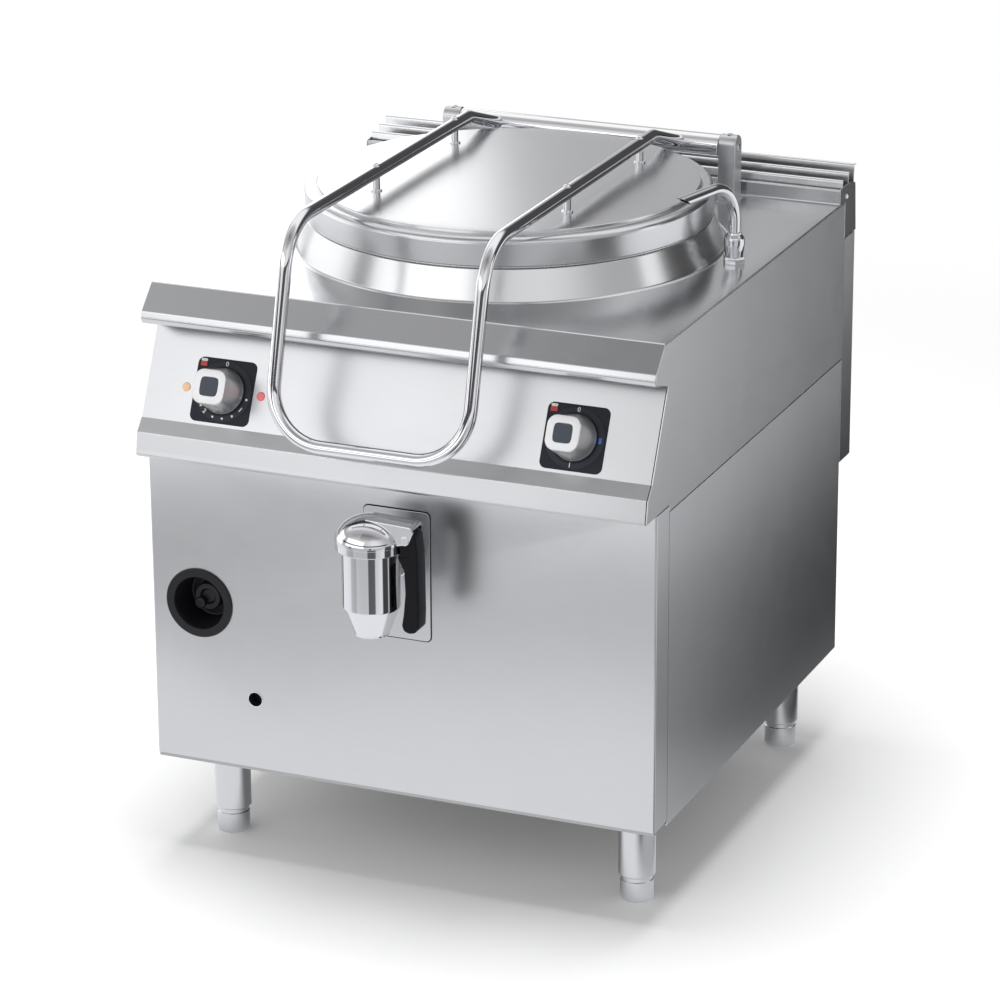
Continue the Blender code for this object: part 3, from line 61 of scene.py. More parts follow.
def span(side, inner, outer):
    # the two distances from the middle, laid out on one side (-1 or 1), the lower one first
    return sorted((side * inner, side * outer))


def softLine(points, radii, steps=6, closed=False):
    # each corner becomes a circular arc tangent to both legs: centre + the blend of its two end
    # spokes by sin((1 - t) * sweep) and sin(t * sweep), with a support point on each leg beside it
    p = np.array(points, float)
    radii = np.broadcast_to(radii, len(p))
    support = meshSizes["support"]
    out = []
    for i, radius in enumerate(radii):
        corner = p[i]
        if radius <= 0 or (not closed and i in (0, len(p) - 1)):
            out.append(corner[None])
            continue
        u, v = unit(p[i - 1] - corner), unit(p[(i + 1) % len(p)] - corner)
        half = math.acos(float(np.clip(u @ v, -1, 1))) / 2
        if half > meshSizes["straight"]:
            out.append(corner[None])
            continue
        centre = corner + unit(u + v) * radius / math.sin(half)
        start, end = (corner + w * radius / math.tan(half) - centre for w in (u, v))
        sweep = math.pi - 2 * half
        t = np.linspace(0, 1, steps + 1)[:, None]
        bend = centre + (np.sin((1 - t) * sweep) * start + np.sin(t * sweep) * end) / math.sin(sweep)
        out.append(np.concatenate([bend[:1] + u * radius * support, bend, bend[-1:] + v * radius * support]))
    return np.concatenate(out)


def leftNormals(line, closed):
    # mean of the left-hand normals of the two legs at each point, lengthened so that an offset
    # line keeps its distance: (n1 + n2) / (1 + n1 . n2)
    legs = np.roll(line, -1, 0) - line
    if not closed:
        legs[-1] = legs[-2]
    n = unit(legs) @ np.array([[0, 1], [-1, 0]])
    before = np.roll(n, 1, 0)
    if not closed:
        before[0] = n[0]
    return (n + before) / np.maximum(1 + (n * before).sum(1, keepdims=True), 0.2)


def counterClockwise(outline):
    x, y = outline.T
    area = (x * np.roll(y, -1) - np.roll(x, -1) * y).sum()
    return outline if area > 0 else outline[::-1]


def foldedSheet(line, thickness):
    # closed outline of a bent sheet: the line, then the line set off by the thickness, reversed
    inner = line + leftNormals(line, False) * thickness
    return counterClockwise(np.concatenate([line, inner[::-1]]))


def roundedSquare(half, corner):
    square = [(half, -half), (half, half), (-half, half), (-half, -half)]
    return softLine(square, corner, 8, closed=True)


def rings(profile, steps):
    # a profile of (radius, height) rows turned round: (r cos a, r sin a, height), row by row
    a = np.linspace(0, 2 * math.pi, steps, endpoint=False)
    r, height = profile[:, :1], np.repeat(profile[:, 1:], steps, 1)
    return r * np.cos(a), r * np.sin(a), height


class Shape:
    # gathers grids of points into one mesh
    def __init__(self):
        self.points, self.faces, self.count = [], [], 0

    def grid(self, points, wrapRows=False, caps=False):
        # each point is joined to the next in its row, which is a closed ring, and to the next row
        rows, columns = points.shape[:2]
        r, c = np.meshgrid(np.arange(rows - (not wrapRows)), np.arange(columns), indexing="ij")
        nextR, nextC = (r + 1) % rows, (c + 1) % columns
        corners = [r * columns + c, r * columns + nextC, nextR * columns + nextC, nextR * columns + c]
        self.faces += (np.stack(corners, -1).reshape(-1, 4) + self.count).tolist()
        if caps:
            ring = np.arange(columns) + self.count
            self.faces += [ring[::-1].tolist(), (ring + (rows - 1) * columns).tolist()]
        self.points.append(points.reshape(-1, 3))
        self.count += rows * columns
        return self

    def turned(self, profile, centre, axis="Z", steps=96):
        # profile rows are (radius, height): x = r cos a, y = r sin a, height along the axis
        profile = np.array(profile, float)
        u, v, h = rings(profile, steps)
        order = {"Z": (u, v, h), "Y": (u, h, v), "X": (h, u, v)}[axis]
        wrap = profile[0, 0] > 1e-9 and profile[-1, 0] > 1e-9
        return self.grid(np.stack(order, -1) + np.array(centre), wrapRows=wrap)

    def slab(self, outline, low, high, edge=0.0005, axis="Z", steps=3, place=None):
        # an outline drawn in across rounded rims: inset e(1 - sin a) at height e(1 - cos a)
        outline = counterClockwise(np.array(outline, float))
        inwards = leftNormals(outline, True)
        a = np.linspace(0, math.pi / 2, steps + 1)
        drawn = edge * (1 - np.sin(a))
        inset = np.concatenate([[1.5 * edge], drawn, drawn[::-1], [1.5 * edge]])
        rise = edge * (1 - np.cos(a))
        height = np.concatenate([[low], low + rise, (high - rise)[::-1], [high]])
        flat = outline[None] + inwards[None] * inset[:, None, None]
        level = np.broadcast_to(height[:, None], flat.shape[:2])
        p, q = flat[..., 0], flat[..., 1]
        order = {"Z": (p, q, level), "Y": (p, level, q), "X": (level, p, q)}[axis]
        points = np.stack(order, -1)
        return self.grid(points if place is None else place(points), caps=True)

    def swept(self, section, path, caps=True):
        # point = path + n * section x + b * section y, where n and b are carried along without twist
        path = np.array(path, float)
        tangent = unit(np.gradient(path, axis=0))
        side = np.zeros_like(path)
        guess = np.eye(3)[np.argmin(np.abs(tangent[0]))]
        for i, t in enumerate(tangent):
            guess = unit(guess - t * (guess @ t))
            side[i] = guess
        up = np.cross(tangent, side)
        points = path[:, None] + side[:, None] * section[None, :, :1] + up[:, None] * section[None, :, 1:]
        return self.grid(points, caps=caps)

    def pipe(self, path, radius, wall=None, steps=32):
        # a circle carried along the path; with a wall, the outer and the inner tube joined at both ends
        a = np.linspace(0, 2 * math.pi, steps, endpoint=False)
        ring = np.stack([np.cos(a), np.sin(a)], 1)
        if wall is None:
            return self.swept(ring * radius, path)
        tubes = [Shape().swept(ring * r, path, caps=False).points[0] for r in (radius, radius - wall)]
        outer, inner = (tube.reshape(len(path), steps, 3) for tube in tubes)
        return self.grid(np.concatenate([outer, inner[::-1]]), wrapRows=True)

    def mesh(self, name):
        made = bpy.data.meshes.new(name)
        made.from_pydata((np.concatenate(self.points) + np.array([0, frontY, 0])).tolist(), [], self.faces)
        closeMesh(made)
        return made

    def piece(self, name, finish, replaces=(), body="cabinet", cutters=(), slot=None):
        # the finished object, cut, smoothed between its sharp edges, and joined to its body
        thing = newObject(name, self.mesh(name))
        for cutter in cutters:
            cutAway(thing, cutter)
        thing.data.shade_smooth()
        thing.data.set_sharp_from_angle(angle=math.radians(meshSizes["sharp"]))
        dress(thing, finish, body)
        if replaces:
            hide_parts(replaces)
        return thing


def closeMesh(mesh, weld=meshSizes["weld"], wall=None):
    # merges doubles, gives a flat mesh its wall, and turns the faces outwards
    bm = bmesh.new()
    bm.from_mesh(mesh)
    bmesh.ops.remove_doubles(bm, verts=bm.verts, dist=weld)
    if wall:
        bmesh.ops.solidify(bm, geom=bm.faces[:], thickness=wall)
    bmesh.ops.recalc_face_normals(bm, faces=bm.faces)
    bm.to_mesh(mesh)
    bm.free()


def newObject(name, data):
    thing = bpy.data.objects.new(name, data)
    bpy.context.scene.collection.objects.link(thing)
    return thing


def dress(thing, finish, body):
    thing.data.materials.clear()
    thing.data.materials.append(finishes[finish])
    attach(thing, body)


def evaluatedMesh(thing):
    bpy.context.view_layer.update()
    return bpy.data.meshes.new_from_object(thing.evaluated_get(bpy.context.evaluated_depsgraph_get()))


def cutAway(thing, cutter):
    # the mesh left after a boolean difference with a closed shape
    tool = newObject("cutter", cutter.mesh("cutter"))
    cut = thing.modifiers.new("cut", "BOOLEAN")
    cut.operation = "DIFFERENCE"
    cut.solver = "EXACT"
    cut.object = tool
    done = evaluatedMesh(thing)
    thing.modifiers.clear()
    old, thing.data = thing.data, done
    toolMesh = tool.data
    bpy.data.objects.remove(tool)
    bpy.data.meshes.remove(old)
    bpy.data.meshes.remove(toolMesh)


def disc(radius, centre, axis, low, high, steps=64):
    # a closed cylinder, used to cut a round hole
    return Shape().turned([(0, low), (radius, low), (radius, high), (0, high)], centre, axis, steps)


# Materials. A Wire wraps a socket, so that node maths reads as sums.

class Wire:
    def __init__(self, tree, socket):
        self.tree, self.socket = tree, socket

    def maths(self, operation, *values, clamp=False):
        node = self.tree.nodes.new("ShaderNodeMath")
        node.operation, node.use_clamp = operation, clamp
        for place, value in zip(node.inputs, values):
            join(self.tree, value, place)
        return Wire(self.tree, node.outputs[0])

    def __add__(self, other):
        return self.maths("ADD", self, other)

    def __radd__(self, other):
        return self.maths("ADD", other, self)

    def __sub__(self, other):
        return self.maths("SUBTRACT", self, other)

    def __rsub__(self, other):
        return self.maths("SUBTRACT", other, self)

    def __mul__(self, other):
        return self.maths("MULTIPLY", self, other)

    def __rmul__(self, other):
        return self.maths("MULTIPLY", other, self)

    def __neg__(self):
        return self.maths("MULTIPLY", self, -1.0)

    def power(self, other):
        return self.maths("POWER", self, other)

    def size(self):
        return self.maths("ABSOLUTE", self)

    def clamped(self):
        return self.maths("ADD", self, 0.0, clamp=True)

    def ramp(self, low, high):
        # 0 below low, 1 above high, and a smooth S between them
        t = self.maths("MULTIPLY", self - low, 1.0 / (high - low), clamp=True)
        return t * t * (3.0 - 2.0 * t)

    def band(self, start, startEnd, end, endEnd):
        # rises from start to startEnd and falls from end to endEnd
        return self.ramp(start, startEnd) * (1.0 - self.ramp(end, endEnd))


def join(tree, value, place):
    if isinstance(value, Wire):
        tree.links.new(value.socket, place)
    else:
        place.default_value = value


class Finish:
    # one material or world: its tree and the method that adds any node
    def __init__(self, holder):
        holder.use_nodes = True
        self.holder, self.tree = holder, holder.node_tree
        self.tree.nodes.clear()

    def add(self, kind, settings=None, inputs=None, output=0):
        # output is one name or number, or a tuple of them for a list of wires
        node = self.tree.nodes.new(kind)
        for key, value in (settings or {}).items():
            setattr(node, key, value)
        for key, value in (inputs or {}).items():
            join(self.tree, value, node.inputs[key])
        if isinstance(output, tuple):
            return [Wire(self.tree, node.outputs[each]) for each in output]
        return Wire(self.tree, node.outputs[output]) if len(node.outputs) else None

    def coordinates(self, kind="Object"):
        return self.add("ShaderNodeTexCoord", output=kind)

    def split(self, vector):
        return self.add("ShaderNodeSeparateXYZ", None, {0: vector}, (0, 1, 2))

    def noise(self, where, scale, detail, rough, stretch=(1, 1, 1)):
        spread = self.add("ShaderNodeMapping", None, {"Vector": where, "Scale": stretch})
        return self.add("ShaderNodeTexNoise", None,
                        {"Vector": spread, "Scale": scale, "Detail": detail, "Roughness": rough}, "Fac")

    def blend(self, factor, first, second):
        # mixes two colours
        return self.add("ShaderNodeMix", {"data_type": "RGBA"},
                        {"Factor": factor, "A": first, "B": second}, "Result")

    def bump(self, height, distance, strength, after=None):
        inputs = {"Height": height, "Distance": distance, "Strength": strength}
        if after is not None:
            inputs["Normal"] = after
        return self.add("ShaderNodeBump", None, inputs)

    def surface(self, **values):
        names = {"colour": "Base Color", "rough": "Roughness", "metal": "Metallic", "normal": "Normal",
                 "coat": "Coat Weight", "ior": "IOR", "glow": "Emission Color",
                 "glowStrength": "Emission Strength", "sheen": "Sheen Weight"}
        shader = self.add("ShaderNodeBsdfPrincipled", None, {names[k]: v for k, v in values.items()})
        self.add("ShaderNodeOutputMaterial", None, {"Surface": shader})


def newFinish(name, slot=None):
    made = Finish(bpy.data.materials.new(name))
    finishes[name], slots[name] = made.holder, slot
    return made


def shade(colour, factor=1.0):
    # a colour made lighter or darker, with its fourth number
    return (*np.minimum(np.array(colour) * factor, 1), 1.0)


steelLook = {"colour": (0.59, 0.596, 0.612), "stretch": (1, 1, 1), "grainScale": 420.0, "grain": 0.05,
             "grainDepth": 0.00002, "patchScale": 5.5, "smearScale": 23.0, "cloud": 0.04, "waveScale": 2.6,
             "waveDepth": 0.0072}
chromeLook = {"colour": (0.8, 0.8, 0.82), "rough": 0.06, "hazeScale": 60.0, "fineScale": 900.0}
plasticLook = {"slot": "slate_plastic", "lift": 0.25, "ior": 1.5}


def steel(name, rough, **changes):
    # satin sheet: fine directional grain in roughness and height, faint clouds in colour, slow waves
    s = {**steelLook, **changes}
    make = newFinish(name, "satin_steel")
    where = make.coordinates()
    lines = make.noise(where, s["grainScale"], 4.0, 0.6, s["stretch"])
    patches = make.noise(where, s["patchScale"], 3.0, 0.55)
    smears = make.noise(where, s["smearScale"], 4.0, 0.6)
    slow = make.noise(where, s["waveScale"], 2.0, 0.4)
    tone = (patches * 0.4 + smears * 0.3 + lines * 0.8 - 0.25).clamped()
    dark, light = shade(s["colour"], 1 - s["cloud"]), shade(s["colour"], 1 + s["cloud"])
    waves = make.bump(slow, s["waveDepth"], 0.1)
    make.surface(colour=make.blend(tone, dark, light), metal=1.0,
                 rough=(rough - s["grain"] / 2 + lines * s["grain"] + smears * 0.05 - 0.025).clamped(),
                 normal=make.bump(lines, s["grainDepth"], 0.25, waves))


def chrome(name, **changes):
    # mirror metal with a faint haze: roughness = rough + 0.04 haze - 0.02 + 0.01 fine
    s = {**chromeLook, **changes}
    make = newFinish(name, "chrome")
    where = make.coordinates()
    haze = make.noise(where, s["hazeScale"], 3.0, 0.6)
    fine = make.noise(where, s["fineScale"], 2.0, 0.5)
    make.surface(colour=make.blend(haze, shade(s["colour"], 0.97), shade(s["colour"])), metal=1.0,
                 rough=(s["rough"] + haze * 0.04 - 0.02 + fine * 0.01).clamped(),
                 normal=make.bump(haze, 0.0002, 0.05))


def speckled(name, slot, colours, cloud, fine, rough, depth, ramp=None, **others):
    # the cloud noise mixes two colours, the fine one gives the bump, and both move the roughness:
    # rough[0] + rough[1] * cloud + rough[2] * fine
    make = newFinish(name, slot)
    where = make.coordinates()
    cloud, fine = make.noise(where, *cloud), make.noise(where, *fine)
    factor = cloud.ramp(*ramp) if ramp else cloud
    make.surface(colour=make.blend(factor, shade(colours[0]), shade(colours[1])),
                 rough=(cloud * rough[1] + fine * rough[2] + rough[0]).clamped(),
                 normal=make.bump(fine, *depth), **others)


def plastic(name, colour, rough, **changes):
    # moulded plastic: soft clouds in the colour and a fine grain
    s = {**plasticLook, **changes}
    colours = np.array(colour) * (1 - s["lift"] / 2), np.array(colour) * (1 + s["lift"] / 2)
    speckled(name, s["slot"], colours, (35.0, 3.0, 0.6), (700.0, 2.0, 0.5), (rough - 0.065, 0.08, 0.05),
             (0.00003, 0.4), ior=s["ior"])


def lens(name, slot, colour):
    # faintly lit moulded lens under a clear skin
    speckled(name, slot, (np.array(colour) * 0.92, colour), (260.0, 2.0, 0.5), (260.0, 2.0, 0.5),
             (0.24, 0.05, 0.0), (0.0001, 0.3), coat=0.4, glow=shade(colour), glowStrength=0.1)


def glassWool():
    # matt wool: long strands lying round the jacket, over soft clouds
    make = newFinish("glassWool")
    where = make.coordinates()
    strands = make.noise(where, 160.0, 6.0, 0.7, (0.25, 0.25, 1.0))
    cloud = make.noise(where, 18.0, 4.0, 0.6)
    tone = make.blend(strands * 0.6 + cloud * 0.4, shade((0.56, 0.5, 0.33)), shade((0.8, 0.77, 0.63)))
    make.surface(colour=tone, rough=0.95, normal=make.bump(strands, 0.002, 0.9), sheen=0.2)


steel("panelSteel", 0.3, stretch=(0.05, 0.05, 1.0))
steel("sideSteel", 0.3, stretch=(0.05, 0.05, 1.0))
steel("topSteel", 0.22, stretch=(0.05, 1.0, 1.0))
steel("bandSteel", 0.33, stretch=(0.04, 1.0, 1.0))
steel("lidSteel", 0.24, waveDepth=0.004)
# painted light: a lighter copy of the same satin steel, made brighter for the louvres
steel("louvreSteelLit", 0.26, stretch=(0.05, 1.0, 1.0), colour=(0.8, 0.805, 0.815))
steel("cheekSteel", 0.3, stretch=(0.05, 0.05, 1.0), colour=(0.72, 0.725, 0.74))
steel("collarSteel", 0.22, waveDepth=0.002, colour=(0.64, 0.645, 0.655))
steel("legSteel", 0.2, stretch=(1.0, 1.0, 0.05))
steel("postSteel", 0.34, stretch=(1.0, 1.0, 0.2))
steel("innerSteel", 0.28, stretch=(1.0, 1.0, 0.2))
steel("plainSteel", 0.42, stretch=(0.2, 1.0, 1.0), colour=(0.42, 0.42, 0.43), grain=0.12, cloud=0.1)
chrome("chromeBright")
# painted shade: a darker copy of the chrome for the gland, spout, tap body and cap
chrome("tapChromeShaded", rough=0.05, colour=(0.68, 0.68, 0.71))
chrome("barChrome", rough=0.05, colour=(0.72, 0.72, 0.75))
chrome("chromeSoft", rough=0.12, colour=(0.74, 0.74, 0.76))
plastic("blackPlastic", (0.014, 0.014, 0.018), 0.34, slot="black_plastic", ior=1.36)
plastic("leverPlastic", (0.007, 0.007, 0.01), 0.26, slot="black_plastic", ior=1.25)
# black that paints shade: the line round the tap plate and the inside of the sight hole
plastic("shadeBlack", (0.01, 0.01, 0.012), 0.75, slot="black_plastic")
plastic("slatePlastic", (0.013, 0.016, 0.025), 0.42, ior=1.3)
plastic("bezelPlastic", (0.022, 0.026, 0.037), 0.36, ior=1.32)
plastic("centrePlastic", (0.052, 0.062, 0.08), 0.4, ior=1.35)
plastic("whiteMark", (0.92, 0.92, 0.92), 0.45, lift=0.04)
plastic("redMark", (0.62, 0.05, 0.05), 0.45, lift=0.08)
plastic("blueMark", (0.06, 0.16, 0.55), 0.45, lift=0.08)
speckled("silverPlastic", "silver_plastic", ((0.6, 0.6, 0.61), (0.66, 0.66, 0.67)), (30.0, 2.0, 0.5),
         (800.0, 3.0, 0.6), (0.28, 0.0, 0.12), (0.00003, 0.3), metal=0.75)
lens("orangeLens", "orange_lens", (0.92, 0.58, 0.34))
lens("redLens", "red_lens", (0.9, 0.16, 0.17))
speckled("brass", None, ((0.62, 0.46, 0.2), (0.42, 0.3, 0.14)), (40.0, 4.0, 0.6), (500.0, 3.0, 0.6),
         (0.3, 0.18, 0.0), (0.00005, 0.4), (0.35, 0.7), metal=1.0)
speckled("castIron", None, ((0.045, 0.045, 0.047), (0.12, 0.105, 0.095)), (30.0, 4.0, 0.6),
         (350.0, 5.0, 0.65), (0.62, 0.0, 0.2), (0.0006, 0.8), metal=0.5)
glassWool()
print("materials made:", len(finishes))

# Finishes of the nodes that stay as they are
keptFinishes = {
    "innerSteel": ["back_panel"],
    "plainSteel": ["base_frame", "jacket_shell", "combustion_chamber", "flue_duct", "water_pipe",
                   "hinge_shaft", "lid_spring"],
    "castIron": ["burner"],
    "brass": ["gas_valve", "gas_pipe", "water_valve", "safety_valve"],
    "glassWool": ["insulation"],
    "slatePlastic": ["heat_regulator"],
    "chromeSoft": ["tap_plug"],
}
for finishName, nodeNames in keptFinishes.items():
    for nodeName in nodeNames:
        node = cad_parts[nodeName]
        node.data.materials.clear()
        node.data.materials.append(finishes[finishName])


# Cabinet. Panels are outlines of bent sheet, drawn out along one axis.

bodySizes = {"half": 0.4, "sheet": 0.0015, "bend": 0.003, "cornerReturn": 0.0492, "frontLow": 0.1576,
             "frontHigh": 0.643, "sideLow": 0.1504, "sideHigh": 0.633, "sideFront": 0.0503, "depth": 0.805,
             "flange": 0.015, "ductDepth": 0.857, "ductLow": 0.4627, "ductHigh": 0.8288, "rim": 0.0004}
panelHoles = {"recess": (-0.3228, 0.4092, 0.0428, 96), "sight": (-0.2349, 0.2679, 0.011, 64),
              "tap": (0, 0.535, 0.0213, 48)}  # across, height, radius, sides


def frontPanel(s=bodySizes):
    # a sheet folded back at both sides, with three round holes
    x, back = s["half"], s["cornerReturn"]
    sheet = foldedSheet(softLine([(-x, back), (-x, 0), (x, 0), (x, back)], s["bend"], 8), s["sheet"])
    holes = [disc(radius, (x, 0, z), "Y", -0.01, 0.01, steps) for x, z, radius, steps in panelHoles.values()]
    Shape().slab(sheet, s["frontLow"], s["frontHigh"], s["rim"]).piece(
        "frontPanelSkin", "panelSteel", "front_panel", cutters=holes)


def sidePanels(s=bodySizes):
    # a sheet with a flange at the rear and one under it
    edge = s["half"] - s["flange"]
    for name, side in hands:
        line = softLine([(side * s["half"], s["sideFront"]), (side * s["half"], s["depth"]),
                         (side * edge, s["depth"])], 0.0025, 6)
        sheet = foldedSheet(line if side > 0 else line[::-1], s["sheet"])
        panel = Shape().slab(sheet, s["sideLow"], s["sideHigh"], s["rim"])
        low, high = span(side, edge, s["half"] - 0.0002)
        near, far = s["sideFront"] + 0.0002, s["depth"] - 0.001
        panel.slab([(low, near), (high, near), (high, far), (low, far)], s["sideLow"],
                   s["sideLow"] + s["sheet"], s["rim"])
        panel.piece(f"sidePanelSkin_{name}", "sideSteel", f"side_panel_{name}")


def ductCover(s=bodySizes):
    # a shallow tray behind the body, with its floor
    x, near, far = s["half"], s["depth"] + 0.0006, s["ductDepth"]
    sheet = foldedSheet(softLine([(x, near), (x, far), (-x, far), (-x, near)], 0.0025, 6), s["sheet"])
    cover = Shape().slab(sheet, s["ductLow"], s["ductHigh"], s["rim"])
    x, far, low = x - s["sheet"], far - s["sheet"], s["ductLow"]
    cover.slab([(-x, near), (x, near), (x, far), (-x, far)], low, low + s["sheet"], s["rim"])
    cover.piece("ductCoverSkin", "sideSteel", "rear_duct_cover")


hoodSizes = {"top": 0.887, "sheet": 0.002, "half": 0.4, "rear": 0.805, "seam": 0.6435, "sideSeam": 0.6342,
             "ledge": (0.0425, 0.8225), "opening": 0.33, "spoutHole": (0.352, 0.437, 0.009)}
noseLine = [(0.0291, 0.887), (-0.0048, 0.8529), (-0.0078, 0.8445), (-0.0045, 0.8375), (0.012, 0.833)]
noseRadii = [0.0026, 0.005, 0.004, 0.003, 0]
panelLine = [(-0.018, 0.6953), (-0.034, 0.677), (-0.0385, 0.6525), (-0.04, 0.646), (-0.038, 0.6435)]
panelRadii = [0.0016, 0.004, 0.012, 0.0012, 0]
collarLine = [(0.3335, 0.8869), (0.3222, 0.8869), (0.3046, 0.9341), (0.3003, 0.9341)]
collarRadii = [0, 0.0065, 0.0022, 0]
collarInside = [(0.3003, 0.9321), (0.32, 0.8849), (0.3335, 0.8849)]


def hoodTop(s=hoodSizes):
    # the top and the rolled nose: one bent sheet across the cabinet, cut round the kettle and the spout
    line = softLine([(s["rear"], s["top"])] + noseLine, [0] + noseRadii, 8)
    half = s["half"] - 0.0006
    spoutX, spoutY, spoutRadius = s["spoutHole"]
    holes = [disc(s["opening"], (0, kettleY, 0), "Z", 0.86, 0.9, 256),
             disc(spoutRadius, (spoutX, spoutY, 0), "Z", 0.86, 0.9, 32)]
    Shape().slab(foldedSheet(line[::-1], s["sheet"]), -half, half, 0.0002, "X").piece(
        "hoodTop", "topSteel", cutters=holes)


def hoodCheeks(s=hoodSizes):
    # the two side sheets follow the nose, the ledge and the sloping panel
    rear, seam = 0.05, s["seam"] + 0.0006
    corners = ([(s["rear"], s["top"])] + noseLine[:-1] + [s["ledge"]] + panelLine
               + [(rear, seam), (rear, s["sideSeam"]), (s["rear"], s["sideSeam"])])
    radii = [0] + noseRadii[:-1] + [0.002] + panelRadii[:-1] + [0.0012, 0.001, 0.0008, 0]
    outline = softLine(corners, radii, 8, closed=True)
    cheeks = Shape()
    for _, side in hands:
        cheeks.slab(outline, *span(side, s["half"] - s["sheet"], s["half"]), 0.0007, "X")
    cheeks.piece("hoodCheeks", "cheekSteel", "worktop")


def hoodCollar():
    # the pressed collar: its outer line and its inside, turned round the kettle's axis
    profile = np.concatenate([softLine(collarLine, collarRadii, 8), collarInside])
    Shape().turned(profile, (0, kettleY, 0), "Z", 256).piece("hoodCollar", "collarSteel")


def controlPanel(s=hoodSizes):
    # the sloping panel and the band under it: one bent sheet between the cheeks
    slope = unit(np.array([0.0605, 0.1272]))
    top = np.array(s["ledge"]) + slope * 0.045
    line = softLine([tuple(top)] + panelLine + [(0.002, 0.6438)], [0] + panelRadii[:-1] + [0.0012, 0], 8)
    half = s["half"] - s["sheet"] - 0.0004
    Shape().slab(foldedSheet(line[::-1], 0.0015), -half, half, 0.0002, "X").piece(
        "controlPanelSkin", "bandSteel", "control_panel")


housingSizes = {"half": 0.4, "sheet": 0.0015, "screwY": 0.8134, "screwZ": 0.8948}
housingCheek = [(0.7805, 0.8875), (0.781, 0.9125), (0.796, 0.9147), (0.84, 0.9125), (0.8545, 0.907),
                (0.86, 0.83), (0.8056, 0.83), (0.8056, 0.8875)]
housingRadii = [0.001, 0.004, 0.01, 0.03, 0.008, 0.001, 0.001, 0.001]
housingRiser = [(0.7745, 0.8874), (0.7812, 0.8874), (0.7818, 0.9118), (0.7885, 0.9118)]
housingBack = [(0.8475, 0.9068), (0.859, 0.9068), (0.8596, 0.8303)]
housingFloor = [(0.8062, 0.8303), (0.8585, 0.8303), (0.8585, 0.8315), (0.8062, 0.8315)]
housingScrew = [(0, -0.0004), (0.0042, -0.0004), (0.0042, 0.0006), (0.0036, 0.0016), (0.0022, 0.0021),
                (0.0015, 0.0022), (0.0013, 0.001), (0, 0.001)]
louvreSizes = {"half": 0.3981, "sheet": 0.0014, "hook": 0.01, "bend": 0.0026, "drop": 0.0022,
               "rows": {"front": (0.796, 0.896, 0.923), "middle": (0.824, 0.899, 0.929),
                        "rear": (0.851, 0.903, 0.936)}}  # depth, low, high


def flueHousing(s=housingSizes):
    # two cheeks, a riser in front, a back and a floor, all of sheet, with a screw in each cheek
    housing, screws = Shape(), Shape()
    for _, side in hands:
        cheek = softLine(housingCheek, housingRadii, 6, closed=True)
        housing.slab(cheek, *span(side, s["half"] - s["sheet"], s["half"]), 0.0006, "X")
        place = (side * s["half"], s["screwY"], s["screwZ"])
        screws.turned(np.array(housingScrew) * (1, side), place, "X", 24)
    inside = s["half"] - 0.0016
    riser = softLine(housingRiser, [0, 0.005, 0.002, 0], 8)
    back = softLine(housingBack, [0, 0.003, 0], 6)
    housing.slab(foldedSheet(riser[::-1], s["sheet"]), -inside, inside, 0.0003, "X")
    housing.slab(foldedSheet(back[::-1], s["sheet"]), -inside, inside, 0.0003, "X")
    housing.slab(housingFloor, -inside, inside, 0.0002, "X")
    housing.piece("flueHousingSkin", "topSteel", "flue_housing")
    screws.piece("housingScrews", "chromeSoft")


def louvres(s=louvreSizes):
    # strips of sheet across the housing, each bent over at the top
    bend = s["bend"]
    for name, (y, low, high) in s["rows"].items():
        line = softLine([(y + s["hook"], high - s["drop"]), (y + bend, high), (y, low)], [0, bend, 0], 8)
        Shape().slab(foldedSheet(line[::-1], s["sheet"]), -s["half"], s["half"], 0.0004, "X").piece(
            f"louvreSkin_{name}", "louvreSteelLit", f"louvre_{name}")


legSizes = {"x": 0.3312, "ys": {"front": 0.1089, "rear": 0.7422}, "tube": 0.0279, "wall": 0.0016,
            "lid": 0.004, "joint": 0.0407, "top": 0.1516, "foot": 0.025, "screw": 0.006, "screwTop": 0.163}


def legs(s=legSizes):
    # a closed tube and the foot that screws into it, both turned
    t, top, lid, inner = s["tube"], s["top"], s["lid"], s["tube"] - s["wall"]
    tube = softLine([(t, s["joint"]), (t, top), (lid, top), (lid, top - lid), (inner, top - lid),
                     (inner, s["joint"])], [0.0007, 0.001, 0, 0, 0, 0.0005], 4, closed=True)
    f, waist, screw, end = s["foot"], s["foot"] - 0.0012, s["screw"], s["screwTop"]
    foot = softLine([(0, 0), (f - 0.001, 0), (f, 0.003), (f, 0.0315), (waist, 0.0325), (waist, 0.0385),
                     (f, 0.0395), (f, 0.085), (screw, 0.085), (screw, end), (0, end)],
                    [0, 0.0015, 0.002, 0.0006, 0.0006, 0.0006, 0.0006, 0, 0, 0, 0], 4)
    for row, y in s["ys"].items():
        for hand, side in hands:
            spot, end = (side * s["x"], y, 0), f"{row}_{hand}"
            Shape().turned(tube, spot, "Z", 64).piece(f"legTubeSkin_{end}", "legSteel", f"leg_tube_{end}")
            Shape().turned(foot, spot, "Z", 64).piece(
                f"legFootSkin_{end}", "legSteel", f"leg_foot_{end}", f"foot_{end}")


frontPanel()
sidePanels()
ductCover()
hoodTop()
hoodCheeks()
hoodCollar()
controlPanel()
flueHousing()
louvres()
legs()
print("cabinet made")


# Kettle, lid, hinge and handle

vesselSizes = {"inner": 0.297, "outer": 0.3, "floor": 0.505, "under": 0.502, "corner": 0.03, "rim": 0.3045,
               "rimLow": 0.9345, "rimTop": 0.9375, "drain": 0.019, "drainZ": 0.535}
lidSizes = {"radius": 0.3061, "low": 0.938, "sideTop": 0.9705, "edge": 0.009, "disc": 0.286, "discZ": 0.985,
            "crown": 0.004, "sheet": 0.002, "hem": 0.012}
lidInside = [(0.284, 0.9795), (0.143, 0.9845), (0, 0.986)]


